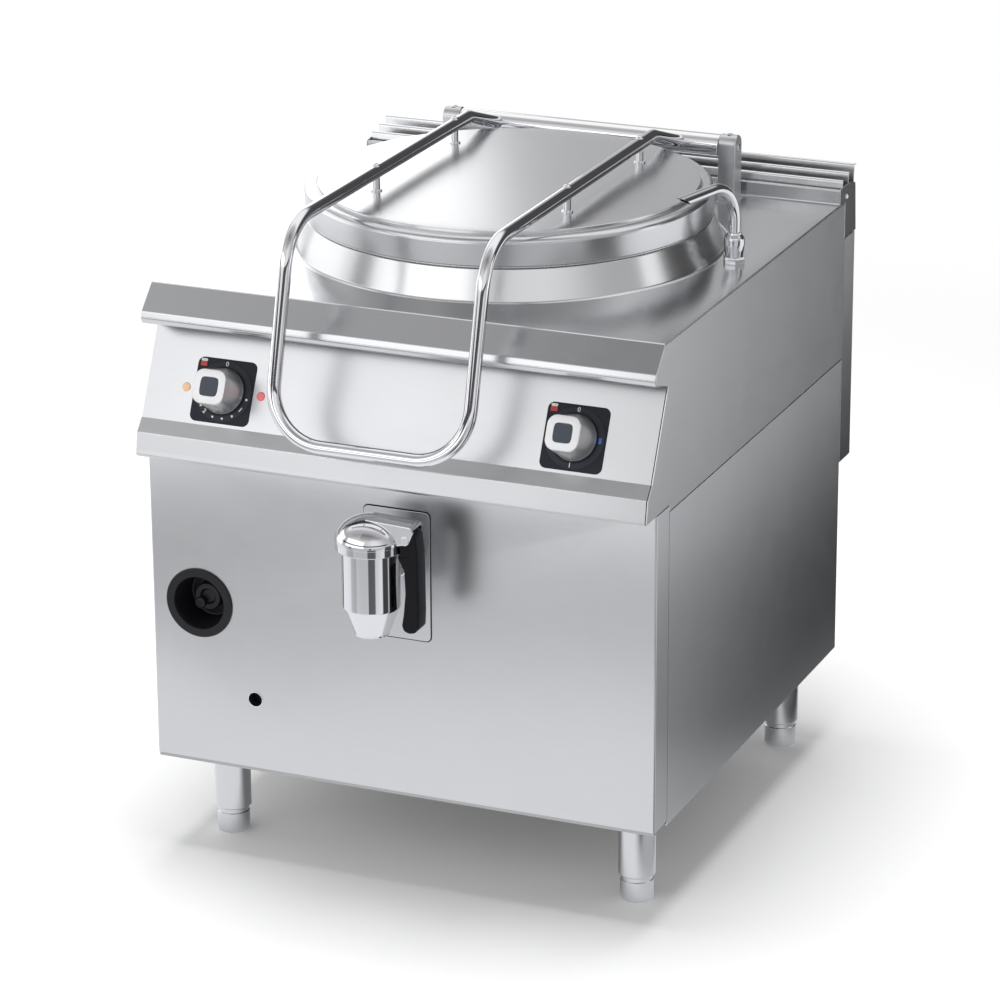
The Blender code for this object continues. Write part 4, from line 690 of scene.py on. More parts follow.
def kettleVessel(s=vesselSizes):
    # a round pan: the inside up to the rim, over it, and back under the floor
    inner, outer, corner, low, top = (s[k] for k in ("inner", "outer", "corner", "rimLow", "rimTop"))
    middle = (inner - corner, s["floor"] + corner)
    inside = np.concatenate([[(0, s["floor"])], arc(middle, corner, -90, 0, 12), [(inner, low)]])
    rim = softLine([(inner, low), (inner, top), (s["rim"], top), (s["rim"], low + 0.0002), (outer, low)],
                   [0, 0.0012, 0.0009, 0.0009, 0], 5)
    under = np.concatenate([arc(middle, corner + outer - inner, 0, -90, 12), [(0, s["under"])]])
    vessel = Shape().turned(np.concatenate([inside, rim, under]), (0, kettleY, 0), "Z", 256)
    vessel.piece("vesselSkin", "innerSteel", "kettle_vessel",
                 cutters=[disc(s["drain"], (0, 0, s["drainZ"]), "Y", 0.0, 0.2, 48)])


def lidShell(s=lidSizes):
    # turned from the middle outwards: a disc that rises by crown * (1 - (r / disc)^2), a groove,
    # a sloping border, a round shoulder, and the side with its hem turned in
    radius, edge, flat, z, top = s["radius"], s["edge"], s["disc"], s["discZ"], s["sideTop"]
    hem, hemTop, wall = radius - s["hem"], s["low"] + s["sheet"], radius - s["sheet"]
    r = np.linspace(0, flat - 0.0016, 14)
    crown = np.stack([r, z + s["crown"] * (1 - (r / flat) ** 2)], 1)
    groove = softLine([(flat - 0.0012, z), (flat, z - 0.0004), (flat + 0.0004, z - 0.0056),
                       (flat + 0.0016, z - 0.0062), (flat + 0.0028, z - 0.0052), (radius - edge, top + edge)],
                      [0, 0.0006, 0.0006, 0.001, 0.001, 0], 4)
    shoulder = arc((radius - edge, top), edge, 88, 0, 12)
    side = softLine([(radius, top - 0.0006), (radius, s["low"]), (hem, s["low"]), (hem, hemTop),
                     (wall, hemTop), (wall, top), (radius - 0.011, 0.9775)] + lidInside,
                    [0, 0.0009, 0.0005, 0, 0, 0.002, 0.004, 0, 0, 0], 5)
    lid = Shape().turned(np.concatenate([crown, groove, shoulder, side]), (0, kettleY, 0), "Z", 288)
    lid.piece("lidSkin", "lidSteel", "lid_shell", "lid")


hingeSizes = {"y": 0.747, "z": 0.974, "tube": 0.018, "bore": 0.0083, "end": 0.2166, "post": 0.217,
              "postWidth": 0.028, "postDepth": 0.031, "postTop": 0.0195, "foot": 0.8873, "footTop": 0.8905}
hingeScrew = [(0, -0.0004), (0.0052, -0.0004), (0.0052, 0.0002), (0.0046, 0.0009), (0.003, 0.001),
              (0.0026, -0.002), (0, -0.002)]


def hinge(s=hingeSizes):
    # a turned tube across the back between two round-topped posts, each with a foot and two screws
    y, z, end, tube, foot, footTop = (s[k] for k in ("y", "z", "end", "tube", "foot", "footTop"))
    profile = softLine([(tube, -end), (tube, end), (s["bore"], end), (s["bore"], -end)],
                       [0.0014, 0.0014, 0, 0], 4, closed=True)
    Shape().turned(profile, (0, y, z), "X", 64).piece("hingeTubeSkin", "chromeBright", "hinge_tube", "lid")
    half = s["postDepth"] / 2
    crown = z + s["postTop"] - half
    outline = np.concatenate([[(y - half, foot), (y + half, foot)], arc((y, crown), half, 0, 180, 28)])
    low, high = y - half - 0.0035, y + half + 0.0035
    base = softLine([(low, foot), (high, foot), (high, footTop), (low, footTop)], 0.001, 3, closed=True)
    screws = Shape()
    for name, side in hands:
        outside = side * (s["post"] + s["postWidth"])
        inner, outer = span(side, s["post"], s["post"] + s["postWidth"])
        post = Shape().slab(outline, inner, outer, 0.0018, "X", 4)
        post.slab(base, inner - 0.0015, outer + 0.0015, 0.0008, "X")
        post.piece(f"hingePostSkin_{name}", "postSteel", f"hinge_post_{name}")
        screws.turned(hingeScrew, ((inner + outer) / 2, y, crown + half), "Z", 28)
        screws.turned(np.array(hingeScrew) * (1, side), (outside, y, z), "X", 28)
    screws.piece("hingeScrews", "chromeSoft")


handleSizes = {"armX": 0.152, "armZ": 1.0156, "tube": 0.01, "rearY": 0.747, "rearZ": 0.974, "kneeY": 0.62,
               "cornerY": -0.021, "loopY": -0.101, "loopZ": 0.717, "corner": 0.08, "frontBend": 0.08,
               "rearBend": 0.05, "stud": 0.0055, "studY": 0.145, "studReach": 0.21}
handleScrew = [(0, 0), (0.006, 0), (0.0058, 0.0014), (0.0048, 0.003), (0.0034, 0.0038), (0.0022, 0.004),
               (0.002, 0.0022), (0, 0.0022)]


def handle(s=handleSizes):
    # one round bar: up from the hinge tube, forward along both arms, and down into the front loop
    def arm(side):
        x = side * s["armX"]
        return [(x, s["rearY"], s["rearZ"]), (x, s["kneeY"], s["armZ"]), (x, s["cornerY"], s["armZ"]),
                (x, s["loopY"], s["loopZ"])]

    radii = [0, s["rearBend"], s["frontBend"], s["corner"]]
    path = softLine(arm(-1) + arm(1)[::-1], radii + radii[::-1], 20)
    Shape().pipe(path, s["tube"], None, 40).piece("handleSkin", "barChrome", "lid_handle", "lid")


def handleStuds(s=handleSizes):
    # turned studs between the lid's disc and the arms, with a screw head on top of each arm
    heads = Shape()
    r, top = s["stud"], s["armZ"] - 0.004
    foot = lidSizes["discZ"] + lidSizes["crown"] * (1 - (s["studReach"] / lidSizes["disc"]) ** 2)
    wide, low = 1.55 * r, foot - 0.001
    profile = softLine([(0, low), (wide, low), (wide, foot + 0.002), (r, foot + 0.0024), (r, top), (0, top)],
                       [0, 0, 0.0008, 0.0004, 0, 0], 4)
    for row, y in (("front", kettleY - s["studY"]), ("rear", kettleY + s["studY"])):
        for hand, side in hands:
            x, end = side * s["armX"], f"{row}_{hand}"
            Shape().turned(profile, (x, y, 0), "Z", 40).piece(
                f"studSkin_{end}", "chromeBright", f"lid_stud_{end}", "lid")
            heads.turned(handleScrew, (x, y, s["armZ"] + s["tube"] - 0.0014), "Z", 28)
    heads.piece("handleScrews", "chromeSoft", (), "lid")


kettleVessel()
lidShell()
hinge()
handle()
handleStuds()
print("kettle and lid made")


# Spout and drain tap

spoutSizes = {"x": 0.352, "y": 0.437, "tube": 0.0085, "wall": 0.0014, "top": 1.0108, "bend": 0.056,
              "reach": 0.143, "park": 75.0, "mouth": 1.8, "nut": 0.017, "nutTurn": -3, "nutLow": 0.8874,
              "nutTop": 0.8985}
glandBulb = [(0.0088, 0.8975), (0.013, 0.8975), (0.0134, 0.9015), (0.0156, 0.917), (0.0152, 0.9268),
             (0.0112, 0.9325), (0.0108, 0.935), (0.0088, 0.9352)]


def spoutGland(s=spoutSizes):
    # a hexagon nut with a turned bulb on it
    a = np.radians(np.arange(6) * 60 + s["nutTurn"])
    corners = np.stack([s["x"] + s["nut"] * np.cos(a), s["y"] + s["nut"] * np.sin(a)], 1)
    gland = Shape().slab(softLine(corners, 0.0012, 4, closed=True), s["nutLow"], s["nutTop"], 0.0014, "Z", 4)
    bulb = softLine(glandBulb, [0, 0, 0.003, 0.012, 0.008, 0.001, 0.0006, 0], 8)
    gland.turned(bulb, (s["x"], s["y"], 0), "Z", 64)
    gland.piece("spoutGlandSkin", "tapChromeShaded", "spout_gland")


def spoutTube(s=spoutSizes):
    # an open pipe with one bend; its mouth is cut aslant, so the points near the free end slide along
    # the pipe by their height over its axis
    park = math.radians(s["park"])
    ahead = np.array([-math.cos(park), -math.sin(park), 0])
    foot = np.array([s["x"], s["y"], 0.885])
    corner = np.array([s["x"], s["y"], s["top"]])
    path = softLine([foot, corner, corner + ahead * s["reach"]], [0, s["bend"], 0], 28)
    tube = Shape().pipe(path, s["tube"], s["wall"], 36)
    points = tube.points[0]
    far = (points - foot) @ ahead > s["reach"] - 0.001
    points[far] += np.outer((points[far, 2] - s["top"] - s["tube"]) * s["mouth"], ahead)
    tube.piece("spoutTubeSkin", "tapChromeShaded", "spout_tube", "spout")


tapSizes = {"y": -0.092, "radius": 0.0425, "bore": 0.038, "top": 0.589, "coneTop": 0.4865, "outletZ": 0.443,
            "outlet": 0.026, "outletBore": 0.022, "cap": 0.0515, "capLow": 0.573, "domeZ": 0.586,
            "capTop": 0.622, "pipeZ": 0.535, "pin": (0.061, 0.597), "bracket": 0.018, "slot": 0.0148,
            "slotLow": 0.553}
plateSizes = {"half": 0.052, "low": 0.403, "high": 0.601, "corner": 0.008, "hole": 0.0215, "shadeRimScale": 1.016}
tapStub = [(0.018, -0.0576), (0.025, -0.0576), (0.025, -0.0026), (0.018, -0.0026)]
tapRing = [(0.02, -0.03), (0.03, -0.03), (0.0315, -0.0285), (0.0315, -0.018), (0.03, -0.0165),
           (0.02, -0.0165)]
tapFlange = [(0.02, -0.01), (0.029, -0.01), (0.029, -0.0026), (0.02, -0.0026)]
drainLine = [(0.021, -0.002), (0.021, 0.123), (0.018, 0.123), (0.018, -0.002)]
pinLine = [(0, -0.0198), (0.0066, -0.0198), (0.0066, -0.018), (0.004, -0.018), (0.004, 0.018),
           (0.0066, 0.018), (0.0066, 0.0198), (0, 0.0198)]
leverLine = [(0.0457, 0.5997), (0.052, 0.579), (0.0475, 0.569), (0.0515, 0.561), (0.0575, 0.55),
             (0.059, 0.515), (0.056, 0.485), (0.053, 0.466), (0.056, 0.458), (0.064, 0.455),
             (0.073, 0.457), (0.079, 0.464), (0.08, 0.485), (0.0795, 0.54), (0.079, 0.575),
             (0.0765, 0.597)]
leverRadii = [0, 0.002, 0.0025, 0.004, 0.008, 0.03, 0.03, 0.006, 0.006, 0.008, 0.008, 0.006, 0.03, 0.05,
              0.01, 0]


def tapPlate(s=plateSizes):
    # a rounded rectangle on the panel, over a slightly larger black sheet that paints a shade line round its
    # edge
    half, low, high = s["half"], s["low"], s["high"]
    outline = softLine([(-half, low), (half, low), (half, high), (-half, high)], s["corner"], 8, closed=True)
    middle = np.array([0, (low + high) / 2])
    hole = disc(s["hole"], (0, 0, tapSizes["pipeZ"]), "Y", -0.01, 0.01, 48)
    # painted shade: the black sheet shows past the plate's edge as a dark line
    Shape().slab((outline - middle) * s["shadeRimScale"] + middle, -0.0012, -0.0002, 0.0002, "Y").piece(
        "tapPlateShadeRim", "shadeBlack", cutters=[hole], slot="satin_steel")
    Shape().slab(outline, -0.0023, -0.0003, 0.0007, "Y").piece(
        "tapPlateSkin", "panelSteel", "tap_plate", cutters=[hole])


def tapBody(s=tapSizes):
    # a hollow turned body with a cone and an outlet, and the stub, ring and flange turned round its pipe
    out, bore = s["outlet"], s["bore"]
    low, top, radius = s["outletZ"], s["top"], s["radius"]
    profile = softLine([(out, low), (out + 0.0003, low + 0.003), (radius, s["coneTop"]), (radius, top),
                        (bore, top), (bore, 0.492), (s["outletBore"], 0.46), (s["outletBore"], low)],
                       [0.001, 0.001, 0.006, 0, 0, 0, 0, 0.0008], 6, closed=True)
    body = Shape().turned(profile, (0, s["y"], 0), "Z", 96)
    pipe = (0, 0, s["pipeZ"])
    body.turned(softLine(tapStub, [0, 0, 0.0006, 0], 3, closed=True), pipe, "Y", 64)
    body.turned(softLine(tapRing, [0, 0.0006, 0.0006, 0.0006, 0.0006, 0], 3, closed=True), pipe, "Y", 64)
    body.turned(softLine(tapFlange, [0, 0.0012, 0, 0], 3, closed=True), pipe, "Y", 64)
    body.piece("tapBodySkin", "tapChromeShaded", "tap_body")
    drain = softLine(drainLine, [0, 0.001, 0.001, 0], 3, closed=True)
    Shape().turned(drain, pipe, "Y", 48).piece("drainPipeSkin", "innerSteel", "drain_pipe")


def tapCap(s=tapSizes):
    # a dome, radius cap * cos a at height rise * sin a, with a narrow band and a hollow underside
    cap, low, dome = s["cap"], s["capLow"], s["domeZ"]
    a = np.radians(np.linspace(90, 4, 22))
    top = np.stack([cap * np.cos(a), dome + (s["capTop"] - dome) * np.sin(a)], 1)
    top[0, 0] = 0
    side = cap - 0.0008
    band = softLine([(cap - 0.0002, dome - 0.0006), (side, dome - 0.0012), (side, low + 0.0012),
                     (cap - 0.0022, low), (0.0432, low), (0.0432, 0.5895), (0.038, 0.5903), (0.03, 0.606),
                     (0, 0.613)], [0, 0.0005, 0.001, 0.0008, 0, 0, 0, 0.01, 0], 4)
    Shape().turned(np.concatenate([top, band]), (0, s["y"], 0), "Z", 112).piece(
        "tapCapSkin", "tapChromeShaded", "tap_cap")


def tapBracket(s=tapSizes):
    # a slab beside the dome, slotted for the lever, and the pin through it
    y, top = s["y"], s["capTop"] - 0.0006
    outline = softLine([(0.0, top), (0.07, top - 0.003), (0.074, top - 0.0115), (0.0665, top - 0.03),
                        (0.0475, top - 0.034), (0.0455, 0.5935), (0.0, top - 0.012)],
                       [0, 0.0045, 0.003, 0.006, 0.002, 0.001, 0], 6, closed=True)
    slot = Shape().slab([(0.0462, s["slotLow"]), (0.2, s["slotLow"]), (0.2, top - 0.016),
                         (0.07, top - 0.008), (0.0462, top - 0.0072)],
                        y - s["slot"], y + s["slot"], 0.00002, "Y")
    Shape().slab(outline, y - s["bracket"], y + s["bracket"], 0.0016, "Y", 4).piece(
        "tapBracketSkin", "chromeSoft", cutters=[slot])
    pinX, pinZ = s["pin"]
    Shape().turned(softLine(pinLine, [0, 0.0008, 0, 0, 0, 0, 0.0008, 0], 4), (pinX, y, pinZ), "Y", 32).piece(
        "tapPinSkin", "chromeBright", "tap_pin")


def tapLever(s=tapSizes):
    # a hub round the pin and a waisted handle below it, drawn across the tap
    hub, grip = arc(s["pin"], 0.0155, 0, 170, 16), softLine(leverLine, leverRadii, 6)
    outline = np.concatenate([hub[:-1], grip[:-1]])
    Shape().slab(outline, s["y"] - 0.0142, s["y"] + 0.0142, 0.0026, "Y", 5).piece(
        "tapLeverSkin", "leverPlastic", "tap_lever", "tap_lever")


spoutGland()
spoutTube()
tapPlate()
tapBody()
tapCap()
tapBracket()
tapLever()
print("spout and tap made")


# Gas valve recess, its knob and the sight hole

cupSizes = {"x": -0.3228, "z": 0.4092, "flange": 0.054, "mouth": 0.0405, "neck": 0.0425, "back": 0.038,
            "floor": 0.036, "floorDepth": 0.046, "depth": 0.048, "bore": 0.0043, "face": -0.0033}
valveSizes = {"near": 0.026, "lugX": -0.0115, "lugZ": -0.0105}
valveLine = [(0, 0.006), (0.0095, 0.006), (0.0128, 0.0004), (0.0198, 0), (0.0215, 0.0018), (0.0215, 0.017),
             (0, 0.017)]
lugLine = [(0, -0.0022), (0.0018, -0.0022), (0.0026, -0.003), (0.0078, -0.003), (0.0085, -0.002),
           (0.0085, 0.004), (0, 0.004)]
sightSizes = {"place": (-0.2349, 0, 0.2679), "rim": 0.0116, "round": 0.0008}
sightShadeTube = [(0.0128, 0.0018), (0.0128, 0.022), (0, 0.022), (0, 0.0205), (0.0112, 0.0205), (0.0112, 0.0018)]


def recessCup(s=cupSizes):
    # a cup with a flange, turned round its axis, with a hole in its floor
    mouth, flange, face, bore, end = (s[k] for k in ("mouth", "flange", "face", "bore", "depth"))
    profile = softLine([(mouth, -0.0018), (mouth + 0.001, face), (flange - 0.0012, face), (flange, -0.0018),
                        (flange, -0.0003), (s["neck"], -0.0003), (s["back"], end), (bore, end),
                        (bore, s["floorDepth"]), (s["floor"], s["floorDepth"])],
                       [0.0006, 0.0008, 0.001, 0.0006, 0, 0, 0, 0, 0, 0.003], 5, closed=True)
    Shape().turned(profile, (s["x"], 0, s["z"]), "Y", 96).piece("recessCupSkin", "blackPlastic", "recess_cup")


def valveKnob(s=valveSizes):
    # a turned knob with a dished face, and a small turned lug at its lower left
    x, z, near = cupSizes["x"], cupSizes["z"], s["near"]
    profile = softLine(valveLine, [0, 0.001, 0.001, 0.001, 0.0012, 0.001, 0], 5)
    lug = softLine(lugLine, [0, 0.0004, 0.0004, 0.0008, 0.0008, 0, 0], 4)
    made = Shape().turned(profile, (x, near, z), "Y", 64)
    made.turned(lug, (x + s["lugX"], near, z + s["lugZ"]), "Y", 40)
    made.piece("valveKnobSkin", "blackPlastic", "valve_knob", "valve_knob")


def sightHole(s=sightSizes):
    # a round bead at the hole's edge and a black tube behind it, which paints the shade inside the hole
    rim = arc((s["rim"], -0.0003), s["round"], 0, 360, 12)[:-1]
    Shape().turned(rim, s["place"], "Y", 48).piece("sightRim", "chromeSoft")
    Shape().turned(sightShadeTube, s["place"], "Y", 48).piece("sightShadeTube", "shadeBlack")


recessCup()
valveKnob()
sightHole()


# Control panel: dials, knobs and lamps, in the panel's own coordinates

slopeUp = unit(np.array([0.0, 0.0605, 0.1272]))
slopeOut = np.array([0.0, -slopeUp[2], slopeUp[1]])
slopeFoot = np.array([0.0, -0.018, 0.6953]) + slopeUp * 0.0523
dialSizes = {"x": 0.275, "half": 0.0475, "corner": 0.01, "gap": 0.0003, "sheet": 0.002, "ring": 0.0362,
             "bezel": 0.0445, "steps": 96}
knobSizes = {"radius": 0.0335, "height": 0.053, "face": 0.0258, "faceCorner": 0.015, "share": 0.9,
             "centre": 0.0136, "centreCorner": 0.004, "foot": 0.0068, "top": 0.004, "wide": 0.972,
             "taper": 0.075}
knobFoot = [(0, 0.955), (0.0006, 0.985), (0.0016, 1.0), (0.004, 1.0), (0.0056, 0.985), (0.0062, 0.975)]
knobRim = [(-0.0022, 0.892), (-0.0009, 0.88), (-0.0001, 0.862), (0, 0.842), (0, 0.5), (-0.0005, 0.488),
           (-0.0015, 0.485)]


def onPanel(x):
    # maps (across, up the slope, out of it) to the cabinet's coordinates
    def place(points):
        across, up, out = points[..., 0:1], points[..., 1:2], points[..., 2:3]
        return slopeFoot + across * np.array([1, 0, 0]) + up * slopeUp + out * slopeOut + np.array([x, 0, 0])
    return place


def squareReach(angle, half, corner):
    # distance from the middle of a rounded square to its edge: half / cos on the flats, and on the
    # corners the far crossing of the ray with the corner's circle
    c, s = np.abs(np.cos(angle)), np.abs(np.sin(angle))
    c, s = np.maximum(c, s), np.minimum(c, s)
    flat = half / c
    k = half - corner
    along = k * (c + s)
    bend = along + np.sqrt(np.maximum(corner ** 2 - (2 * k * k - along ** 2), 0))
    return np.where(flat * s <= k, flat, bend)


def knob(side, x, s=knobSizes):
    # rings between a circle and a rounded square: radius = size * ((1 - q) circle + q square), where q
    # goes from 0 to 1 along a smooth S between the foot and the rim
    base, height, steps = dialSizes["sheet"] + 0.0006, s["height"], dialSizes["steps"]
    v = np.linspace(0, 1, 14)
    low = base + s["foot"]
    body = np.stack([low + v * (height - s["top"] - low), s["wide"] - s["taper"] * v, v * v * (3 - 2 * v)], 1)
    foot = [(base + rise, size, 0.0) for rise, size in knobFoot]
    rim = [(height + drop, size, 1.0) for drop, size in knobRim]
    level, size, q = np.concatenate([foot, body, rim]).T[:, :, None]
    a = np.linspace(0, 2 * math.pi, steps, endpoint=False)
    square = squareReach(a, s["face"] / s["share"], s["faceCorner"] / s["share"])
    reach = size * ((1 - q) * s["radius"] + q * square)
    points = np.stack([reach * np.cos(a), reach * np.sin(a), np.repeat(level, steps, 1)], -1)
    Shape().grid(onPanel(x)(points), caps=True).piece(
        f"knobSkin_{side}", "silverPlastic", f"knob_{side}", f"knob_{side}")
    centre = roundedSquare(s["centre"], s["centreCorner"])
    Shape().slab(centre, height - 0.0016, height + 0.0002, 0.0003, place=onPanel(x)).piece(
        f"knobCentre_{side}", "centrePlastic", (), f"knob_{side}")


def dial(side, x, s=dialSizes):
    # a rounded square plate with a thin turned ring on it
    top = s["gap"] + s["sheet"]
    plate = Shape().slab(roundedSquare(s["half"], s["corner"]), s["gap"], top, 0.0008, place=onPanel(x))
    plate.piece(f"dialPlateSkin_{side}", "slatePlastic", f"dial_plate_{side}")
    ring = softLine([(s["ring"], top - 0.0002), (s["ring"], top + 0.001), (s["bezel"], top + 0.0004),
                     (s["bezel"] + 0.0004, top - 0.0002)], [0, 0.0004, 0.0004, 0], 4)
    points = np.stack(rings(ring, s["steps"]), -1)
    Shape().grid(onPanel(x)(points), wrapRows=True).piece(f"dialRing_{side}", "bezelPlastic")


markSizes = {"sink": 0.0002, "raise": 0.0012, "numeral": 0.0095, "thicken": 0.00022, "wall": 0.0002,
             "weld": 1e-6, "ring": 0.0398, "dot": 0.0017, "barX": -0.0374, "barCorner": 0.0016,
             "zeroUp": 0.04, "oneUp": -0.0395, "oneTurn": -36.4, "twoAt": -127.6, "twoTurn": -30,
             "dots": (-11.5, -59.2, -82.5, -105.0, -143.0)}
markTop = dialSizes["gap"] + dialSizes["sheet"]


def flatMarks(name, finish, x, outlines, s=markSizes):
    # thin printed patches just over the plate
    marks = Shape()
    for outline in outlines:
        marks.slab(outline, markTop - s["sink"], markTop + s["raise"], 0.0001, steps=1, place=onPanel(x))
    marks.piece(name, finish)


def barOutline(u, v, width, height, corner=0.0012):
    # a rounded rectangle round (u, v)
    w, h = width / 2, height / 2
    return softLine([(-w, -h), (w, -h), (w, h), (-w, h)], corner, 3, closed=True) + np.array([u, v])


def numeral(text, u, v, x, name, turn=0.0, s=markSizes):
    # generic dial number: a text outline made a mesh, turned about its middle, then laid on the plate
    curve = bpy.data.curves.new(name, "FONT")
    curve.body, curve.size, curve.extrude = text, s["numeral"], 0.0
    curve.align_x, curve.align_y, curve.offset = "CENTER", "CENTER", s["thicken"]
    letters = newObject(name, curve)
    mesh = evaluatedMesh(letters)
    bpy.data.objects.remove(letters)
    flat = np.zeros(len(mesh.vertices) * 3)
    mesh.vertices.foreach_get("co", flat)
    c, q = math.cos(math.radians(turn)), math.sin(math.radians(turn))
    spin = np.array([[c, q, 0], [-q, c, 0], [0, 0, 1]])
    flat = flat.reshape(-1, 3) @ spin + np.array([u, v, markTop + s["raise"]])
    mesh.vertices.foreach_set("co", (onPanel(x)(flat) + np.array([0, frontY, 0])).ravel())
    mesh.update()
    closeMesh(mesh, s["weld"], s["wall"])
    dress(newObject(name, mesh), "whiteMark", "cabinet")


def onRing(angle, radius=markSizes["ring"]):
    return radius * math.cos(math.radians(angle)), radius * math.sin(math.radians(angle))


def dialMarks(s=markSizes):
    # a zero and two bars on both dials, 1, 2 and dots on the left one, I and a blue bar on the right one
    left, right = -dialSizes["x"], dialSizes["x"]
    for side, x in (("left", left), ("right", right)):
        numeral("0", 0, s["zeroUp"], x, f"dialZero_{side}")
        white = barOutline(s["barX"], 0.043, 0.01, 0.0042, s["barCorner"])
        red = barOutline(s["barX"], 0.0373, 0.0104, 0.007, s["barCorner"])
        flatMarks(f"markWhite_{side}", "whiteMark", x, [white])
        flatMarks(f"markRed_{side}", "redMark", x, [red])
    numeral("I", -0.001, s["oneUp"], right, "dialOne_right")
    numeral("1", *onRing(s["oneTurn"]), left, "dialOne_left", s["oneTurn"])
    numeral("2", *onRing(s["twoAt"]), left, "dialTwo_left", s["twoTurn"])
    dots = [arc(onRing(angle), s["dot"], 0, 360, 20)[:-1] for angle in s["dots"]]
    flatMarks("dots_left", "whiteMark", left, dots)
    flatMarks("markBlue_right", "blueMark", right, [barOutline(0.0385, 0.0, 0.0045, 0.0085)])


lampLine = [(0, -0.0135), (0.0044, -0.0135), (0.0044, 0.0003), (0.0068, 0.0003), (0.0068, 0.0016),
            (0.0058, 0.0028), (0, 0.0032)]


def lamp(name, x, finish, node):
    # a stem and a low domed lens, turned round a line that stands out of the slope
    profile = softLine(lampLine, [0, 0, 0, 0, 0.0005, 0.0008, 0], 4)
    points = np.stack(rings(profile, 48), -1)
    Shape().grid(onPanel(x)(points)).piece(name, finish, node)


for hand, side in hands:
    dial(hand, side * dialSizes["x"])
    knob(hand, side * dialSizes["x"])
dialMarks()
lamp("lampOrangeSkin", -0.335, "orangeLens", "lamp_orange")
lamp("lampRedSkin", -0.215, "redLens", "lamp_red")
print("controls made")


# Floor, world, lights and camera

floorSizes = {"half": 14.0, "colour": 0.9, "lift": 0.055, "whiteFrom": 1.6, "whiteTo": 3.2,
              "front": 1.12, "frontDrop": 0.44, "beside": 0.56, "besidePower": 0.085, "besideRise": 1.2,
              "besideMost": 0.62, "under": 0.8, "lines": 0.9, "tapY": -0.45}
worldSizes = {"level": 0.42, "room": 0.6, "dark": 0.52, "ahead": 0.28, "aside": 0.2, "behindAbove": 0.6,
              "belt": 0.9}


def stageFloor(s=floorSizes):
    # the camera sees a white floor with the object's shadow, which turns to plain white far away.
    # Mirrors see a painted glow instead of the lit floor: painted light in front, a painted grey
    # reflection beside the right panel, painted shade under the body, and painted darker stripes round the
    # tap
    half = s["half"]
    mesh = bpy.data.meshes.new("studioFloor")
    corners = [(-half, -half, 0), (half, -half, 0), (half, half, 0), (-half, half, 0)]
    mesh.from_pydata(corners, [], [(0, 1, 2, 3)])
    make = newFinish("floorWhite")
    x, y = make.split(make.coordinates())[:2]
    # painted light: the glow that mirrors see, bright in front and grey beside the right panel
    front = s["front"] - s["frontDrop"] * (-y).ramp(0.7, 2.1)
    along = y + 0.358 - 2.35 * (x - 0.4)
    spread = x.maths("POWER", s["besidePower"], along.maths("MAXIMUM", along, -0.5))
    beside = s["beside"] * spread * (1.0 + s["besideRise"] * x.ramp(1.15, 1.36))
    beside = beside.maths("MINIMUM", beside, s["besideMost"])
    mask = x.ramp(0.35, 0.5) * along.ramp(-1.2, -0.3) * (1.0 - x.ramp(6.0, 9.0))
    # painted shade: the glow that mirrors see is darkened under the body
    under = (1.0 - x.size().ramp(0.28, 0.44)) * (1.0 - (y - 0.07).size().ramp(0.28, 0.46))
    fromTap = y - s["tapY"]
    around = x.maths("ARCTAN2", x, -fromTap)  # 0 straight ahead of the tap, positive to the right
    reach = (x * x + fromTap * fromTap).power(0.5)
    # painted reflections: darker stripes and lines in the glow round the tap
    stripes = (0.8 * around.band(0.22, 0.28, 0.68, 0.74) + 0.35 * around.ramp(1.15, 1.22)
               + 0.3 * around.band(-1.06, -0.96, -0.62, -0.52))
    farLines = around.band(0.34, 0.36, 0.44, 0.46) + around.band(-0.8, -0.78, -0.68, -0.66)
    lines = reach.ramp(0.45, 0.55) * around.band(1.2, 1.25, 1.58, 1.66) + reach.ramp(2.2, 2.4) * farLines
    plainLight = front * (1.0 - mask) + beside * mask
    shaded = (1.0 - s["under"] * under) * (1.0 - reach.band(0.8, 1.0, 1.9, 2.3) * stripes)
    level = plainLight * shaded * (1.0 - s["lines"] * lines)
    seen, mirror = make.add("ShaderNodeLightPath", output=("Is Camera Ray", "Is Glossy Ray"))
    grey, white = shade((s["colour"],) * 3), shade((1, 1, 1))
    away = (x * x + y * y).power(0.5).ramp(s["whiteFrom"], s["whiteTo"])
    matt = make.add("ShaderNodeBsdfDiffuse", None, {"Color": make.blend(seen, grey, white)})
    lift = make.add("ShaderNodeEmission", None, {"Strength": seen * s["lift"]})
    lifted = make.add("ShaderNodeAddShader", None, {0: matt, 1: lift})
    plainWhite = make.add("ShaderNodeEmission", None, {"Strength": 1.0})
    # the floor glows for mirrors only: a painted reflection, not a lamp
    glow = make.add("ShaderNodeEmission", None, {"Color": shade((0.98, 0.99, 1.0)), "Strength": level})
    plain = make.add("ShaderNodeMixShader", None, {0: seen * away, 1: lifted, 2: plainWhite})
    mixed = make.add("ShaderNodeMixShader", None, {0: mirror, 1: plain, 2: glow})
    make.add("ShaderNodeOutputMaterial", None, {"Surface": mixed})
    mesh.materials.append(make.holder)
    newObject("studioFloor", mesh)


